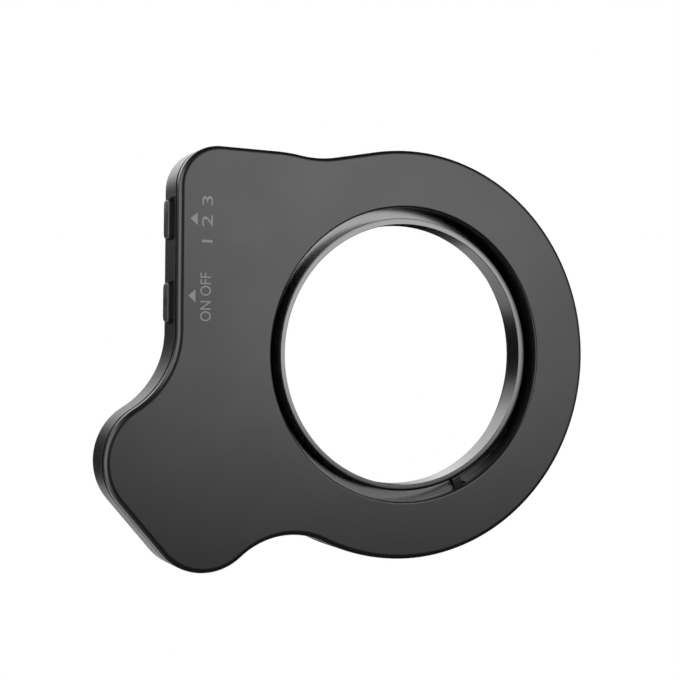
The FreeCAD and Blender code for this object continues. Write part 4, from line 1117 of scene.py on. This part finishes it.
# %% [markdown]
# ## Printed marks
#
# Pad printing lays a thin grey film on the cover: a triangle points to each button and a word tells its
# use. The words here are plain ones. An image on the cover could carry them, but a mesh stays sharp at any
# distance, so Text objects are turned into meshes that ride like other pieces. A triangle is a tip (x, z),
# the x of its base and where the base starts and ends in z. A word reads upwards: its text, the x of the
# letters' heads and feet, and where it starts and ends in z.

# %% Marks
PRINT_DEPTH = 0.004
PRINT_THICKNESS = 0.006
TRIANGLES = (((-46.07, 25.31), -44.64, 24.07, 26.52), ((-46.33, 10.82), -44.96, 9.51, 12.0))
WORDS = (("1 2 3", -43.78, -41.64, 20.9, 29.68), ("ON OFF", -44.03, -41.89, 6.02, 15.15))
LETTER_STEPS = 6


def make_triangles():
    shells = []
    for (tip_x, tip_z), base_x, low, high in TRIANGLES:
        corners = [(tip_x, tip_z), (base_x, low), (base_x, high)]
        shells.append(capped([[(x, REAR_Y + d, z) for x, z in corners]
                              for d in (PRINT_DEPTH, PRINT_DEPTH + PRINT_THICKNESS)]))
    return new_piece("printed_triangles", combined(shells), "case", "cover_metal")


def make_word(text, head_x, foot_x, low, high):
    """Vertices and faces of a word, fitted between its four limits."""
    letters = bpy.data.curves.new("letters", "FONT")
    letters.body = text
    letters.resolution_u = LETTER_STEPS
    maker = bpy.data.objects.new("letters", letters)
    scene.collection.objects.link(maker)
    flat = applied_mesh(maker)
    bpy.data.objects.remove(maker)
    xs = [v.co.x for v in flat.vertices]
    ys = [v.co.y for v in flat.vertices]
    vertices = []
    for v in flat.vertices:
        along = (v.co.x - min(xs)) / (max(xs) - min(xs))
        up = (v.co.y - min(ys)) / (max(ys) - min(ys))
        vertices.append((foot_x + (head_x - foot_x) * up, REAR_Y + PRINT_DEPTH, low + (high - low) * along))
    return vertices, [tuple(face.vertices) for face in flat.polygons]


def make_words():
    return new_piece("printed_words", combined([make_word(*word) for word in WORDS]), "case", "cover_metal")


GREY_PRINT = grained("grey_print", (0.26, 0.26, 0.26), 0.5, 0.6)
for marks in (make_triangles(), make_words()):
    dress(marks, GREY_PRINT)
print("marks:", len(TRIANGLES), "triangles and", len(WORDS), "words")

# %% [markdown]
# ## The floor
#
# A pale floor lies well below the object, because the part is held by its bore and never stands. A studio
# floor curves up into the backdrop, so its far edge is never seen. Here the disc fades into the white world
# instead: for camera rays alone, a mask of the distance from the middle mixes in the backdrop's white. From
# below the disc is clear, as if one looked up through a glass table, so that no side of the object is
# hidden.

# %% Floor
FLOOR_DROP = 170.0
FLOOR_R = 340.0
FLOOR_STEPS = 96
FLOOR_FADE = (90.0, 300.0)


def level_distance(tree):
    """Distance from the floor's middle, measured along the floor."""
    place = tree.nodes.new("ShaderNodeTexCoord")
    level = tree.nodes.new("ShaderNodeVectorMath")
    level.operation = "MULTIPLY"
    level.inputs[1].default_value = (1.0, 1.0, 0.0)
    reach = tree.nodes.new("ShaderNodeVectorMath")
    reach.operation = "LENGTH"
    tree.links.new(place.outputs["Object"], level.inputs[0])
    tree.links.new(level.outputs["Vector"], reach.inputs[0])
    return reach.outputs["Value"]


def make_floor_finish():
    """Pale grained floor that turns into the backdrop's white towards its rim and is clear from below."""
    material = grained("pale_floor", (0.8, 0.8, 0.8), 0.6, 0.7)
    tree = material.node_tree
    link = tree.links.new
    fade = tree.nodes.new("ShaderNodeMapRange")
    fade.interpolation_type = "SMOOTHSTEP"
    fade.inputs["From Min"].default_value = FLOOR_FADE[0] * MM
    fade.inputs["From Max"].default_value = FLOOR_FADE[1] * MM
    rays = tree.nodes.new("ShaderNodeLightPath")
    share = tree.nodes.new("ShaderNodeMath")
    share.operation = "MULTIPLY"
    white = tree.nodes.new("ShaderNodeEmission")
    mix = tree.nodes.new("ShaderNodeMixShader")
    side = tree.nodes.new("ShaderNodeNewGeometry")
    clear = tree.nodes.new("ShaderNodeBsdfTransparent")
    top_only = tree.nodes.new("ShaderNodeMixShader")
    link(level_distance(tree), fade.inputs["Value"])
    link(fade.outputs["Result"], share.inputs[0])
    link(rays.outputs["Is Camera Ray"], share.inputs[1])
    link(share.outputs[0], mix.inputs[0])
    link(tree.nodes["Principled BSDF"].outputs["BSDF"], mix.inputs[1])
    link(white.outputs["Emission"], mix.inputs[2])
    link(side.outputs["Backfacing"], top_only.inputs[0])
    link(mix.outputs[0], top_only.inputs[1])
    link(clear.outputs["BSDF"], top_only.inputs[2])
    link(top_only.outputs[0], tree.nodes["Material Output"].inputs["Surface"])
    return material


def make_floor():
    rim = [(x, y, -FLOOR_DROP) for x, y in round_points(FLOOR_R, FLOOR_STEPS)]
    floor = new_mesh("floor", rim, [tuple(range(FLOOR_STEPS))])
    dress(floor, make_floor_finish())
    if floor.data.polygons[0].normal.z < 0:
        floor.data.flip_normals()
    floor.visible_glossy = False
    return floor


make_floor()
print("floor at z =", -FLOOR_DROP, "mm")

# %% [markdown]
# ## Black cards
#
# A black thing on a white ground loses its edge unless black cards stand just outside the frame. Darker
# materials wouldn't help, because the light edge is a reflection. The cards are curved sheets, each given
# by the azimuths where it starts and ends and the elevations of its lower and upper edge. Only glossy rays
# see them: they darken what the satin surfaces reflect and take no light from the object.

# %% Black cards
CARD_DISTANCE = 640.0
CARD_COLUMNS = 24
CARD_ROWS = 8
CARDS = {
    "card_by_camera": (-50, 6, -50, 40),
    "card_right": (66, 150, -50, 40),
    "card_behind": (168, 232, -17, 11),
    "card_behind_right": (120, 168, -28, 4),
    "card_above": (-180, 180, 40, 90),
    "card_below": (-180, 180, -90, -50),
    "card_low_front": (-60, 100, -50, -10),
}
CARD_BLACK = grained("card_black", (0.0, 0.0, 0.0), 0.9, 0.95, Specular_IOR_Level=0.0)


def make_card(name, left, right, low, high):
    vertices = []
    for row in range(CARD_ROWS + 1):
        elevation = low + (high - low) * row / CARD_ROWS
        for column in range(CARD_COLUMNS + 1):
            azimuth = left + (right - left) * column / CARD_COLUMNS
            vertices.append(tuple(direction(azimuth, elevation) * CARD_DISTANCE))
    faces = []
    for row in range(CARD_ROWS):
        for column in range(CARD_COLUMNS):
            near = row * (CARD_COLUMNS + 1) + column
            far = near + CARD_COLUMNS + 1
            faces.append((near, near + 1, far + 1, far))
    card = new_mesh(name, vertices, faces)
    dress(card, CARD_BLACK)
    card.visible_camera = False
    card.visible_diffuse = False
    card.visible_transmission = False
    card.visible_shadow = False
    return card


cards = [make_card(name, *stretch) for name, stretch in CARDS.items()]
print("cards:", len(cards))
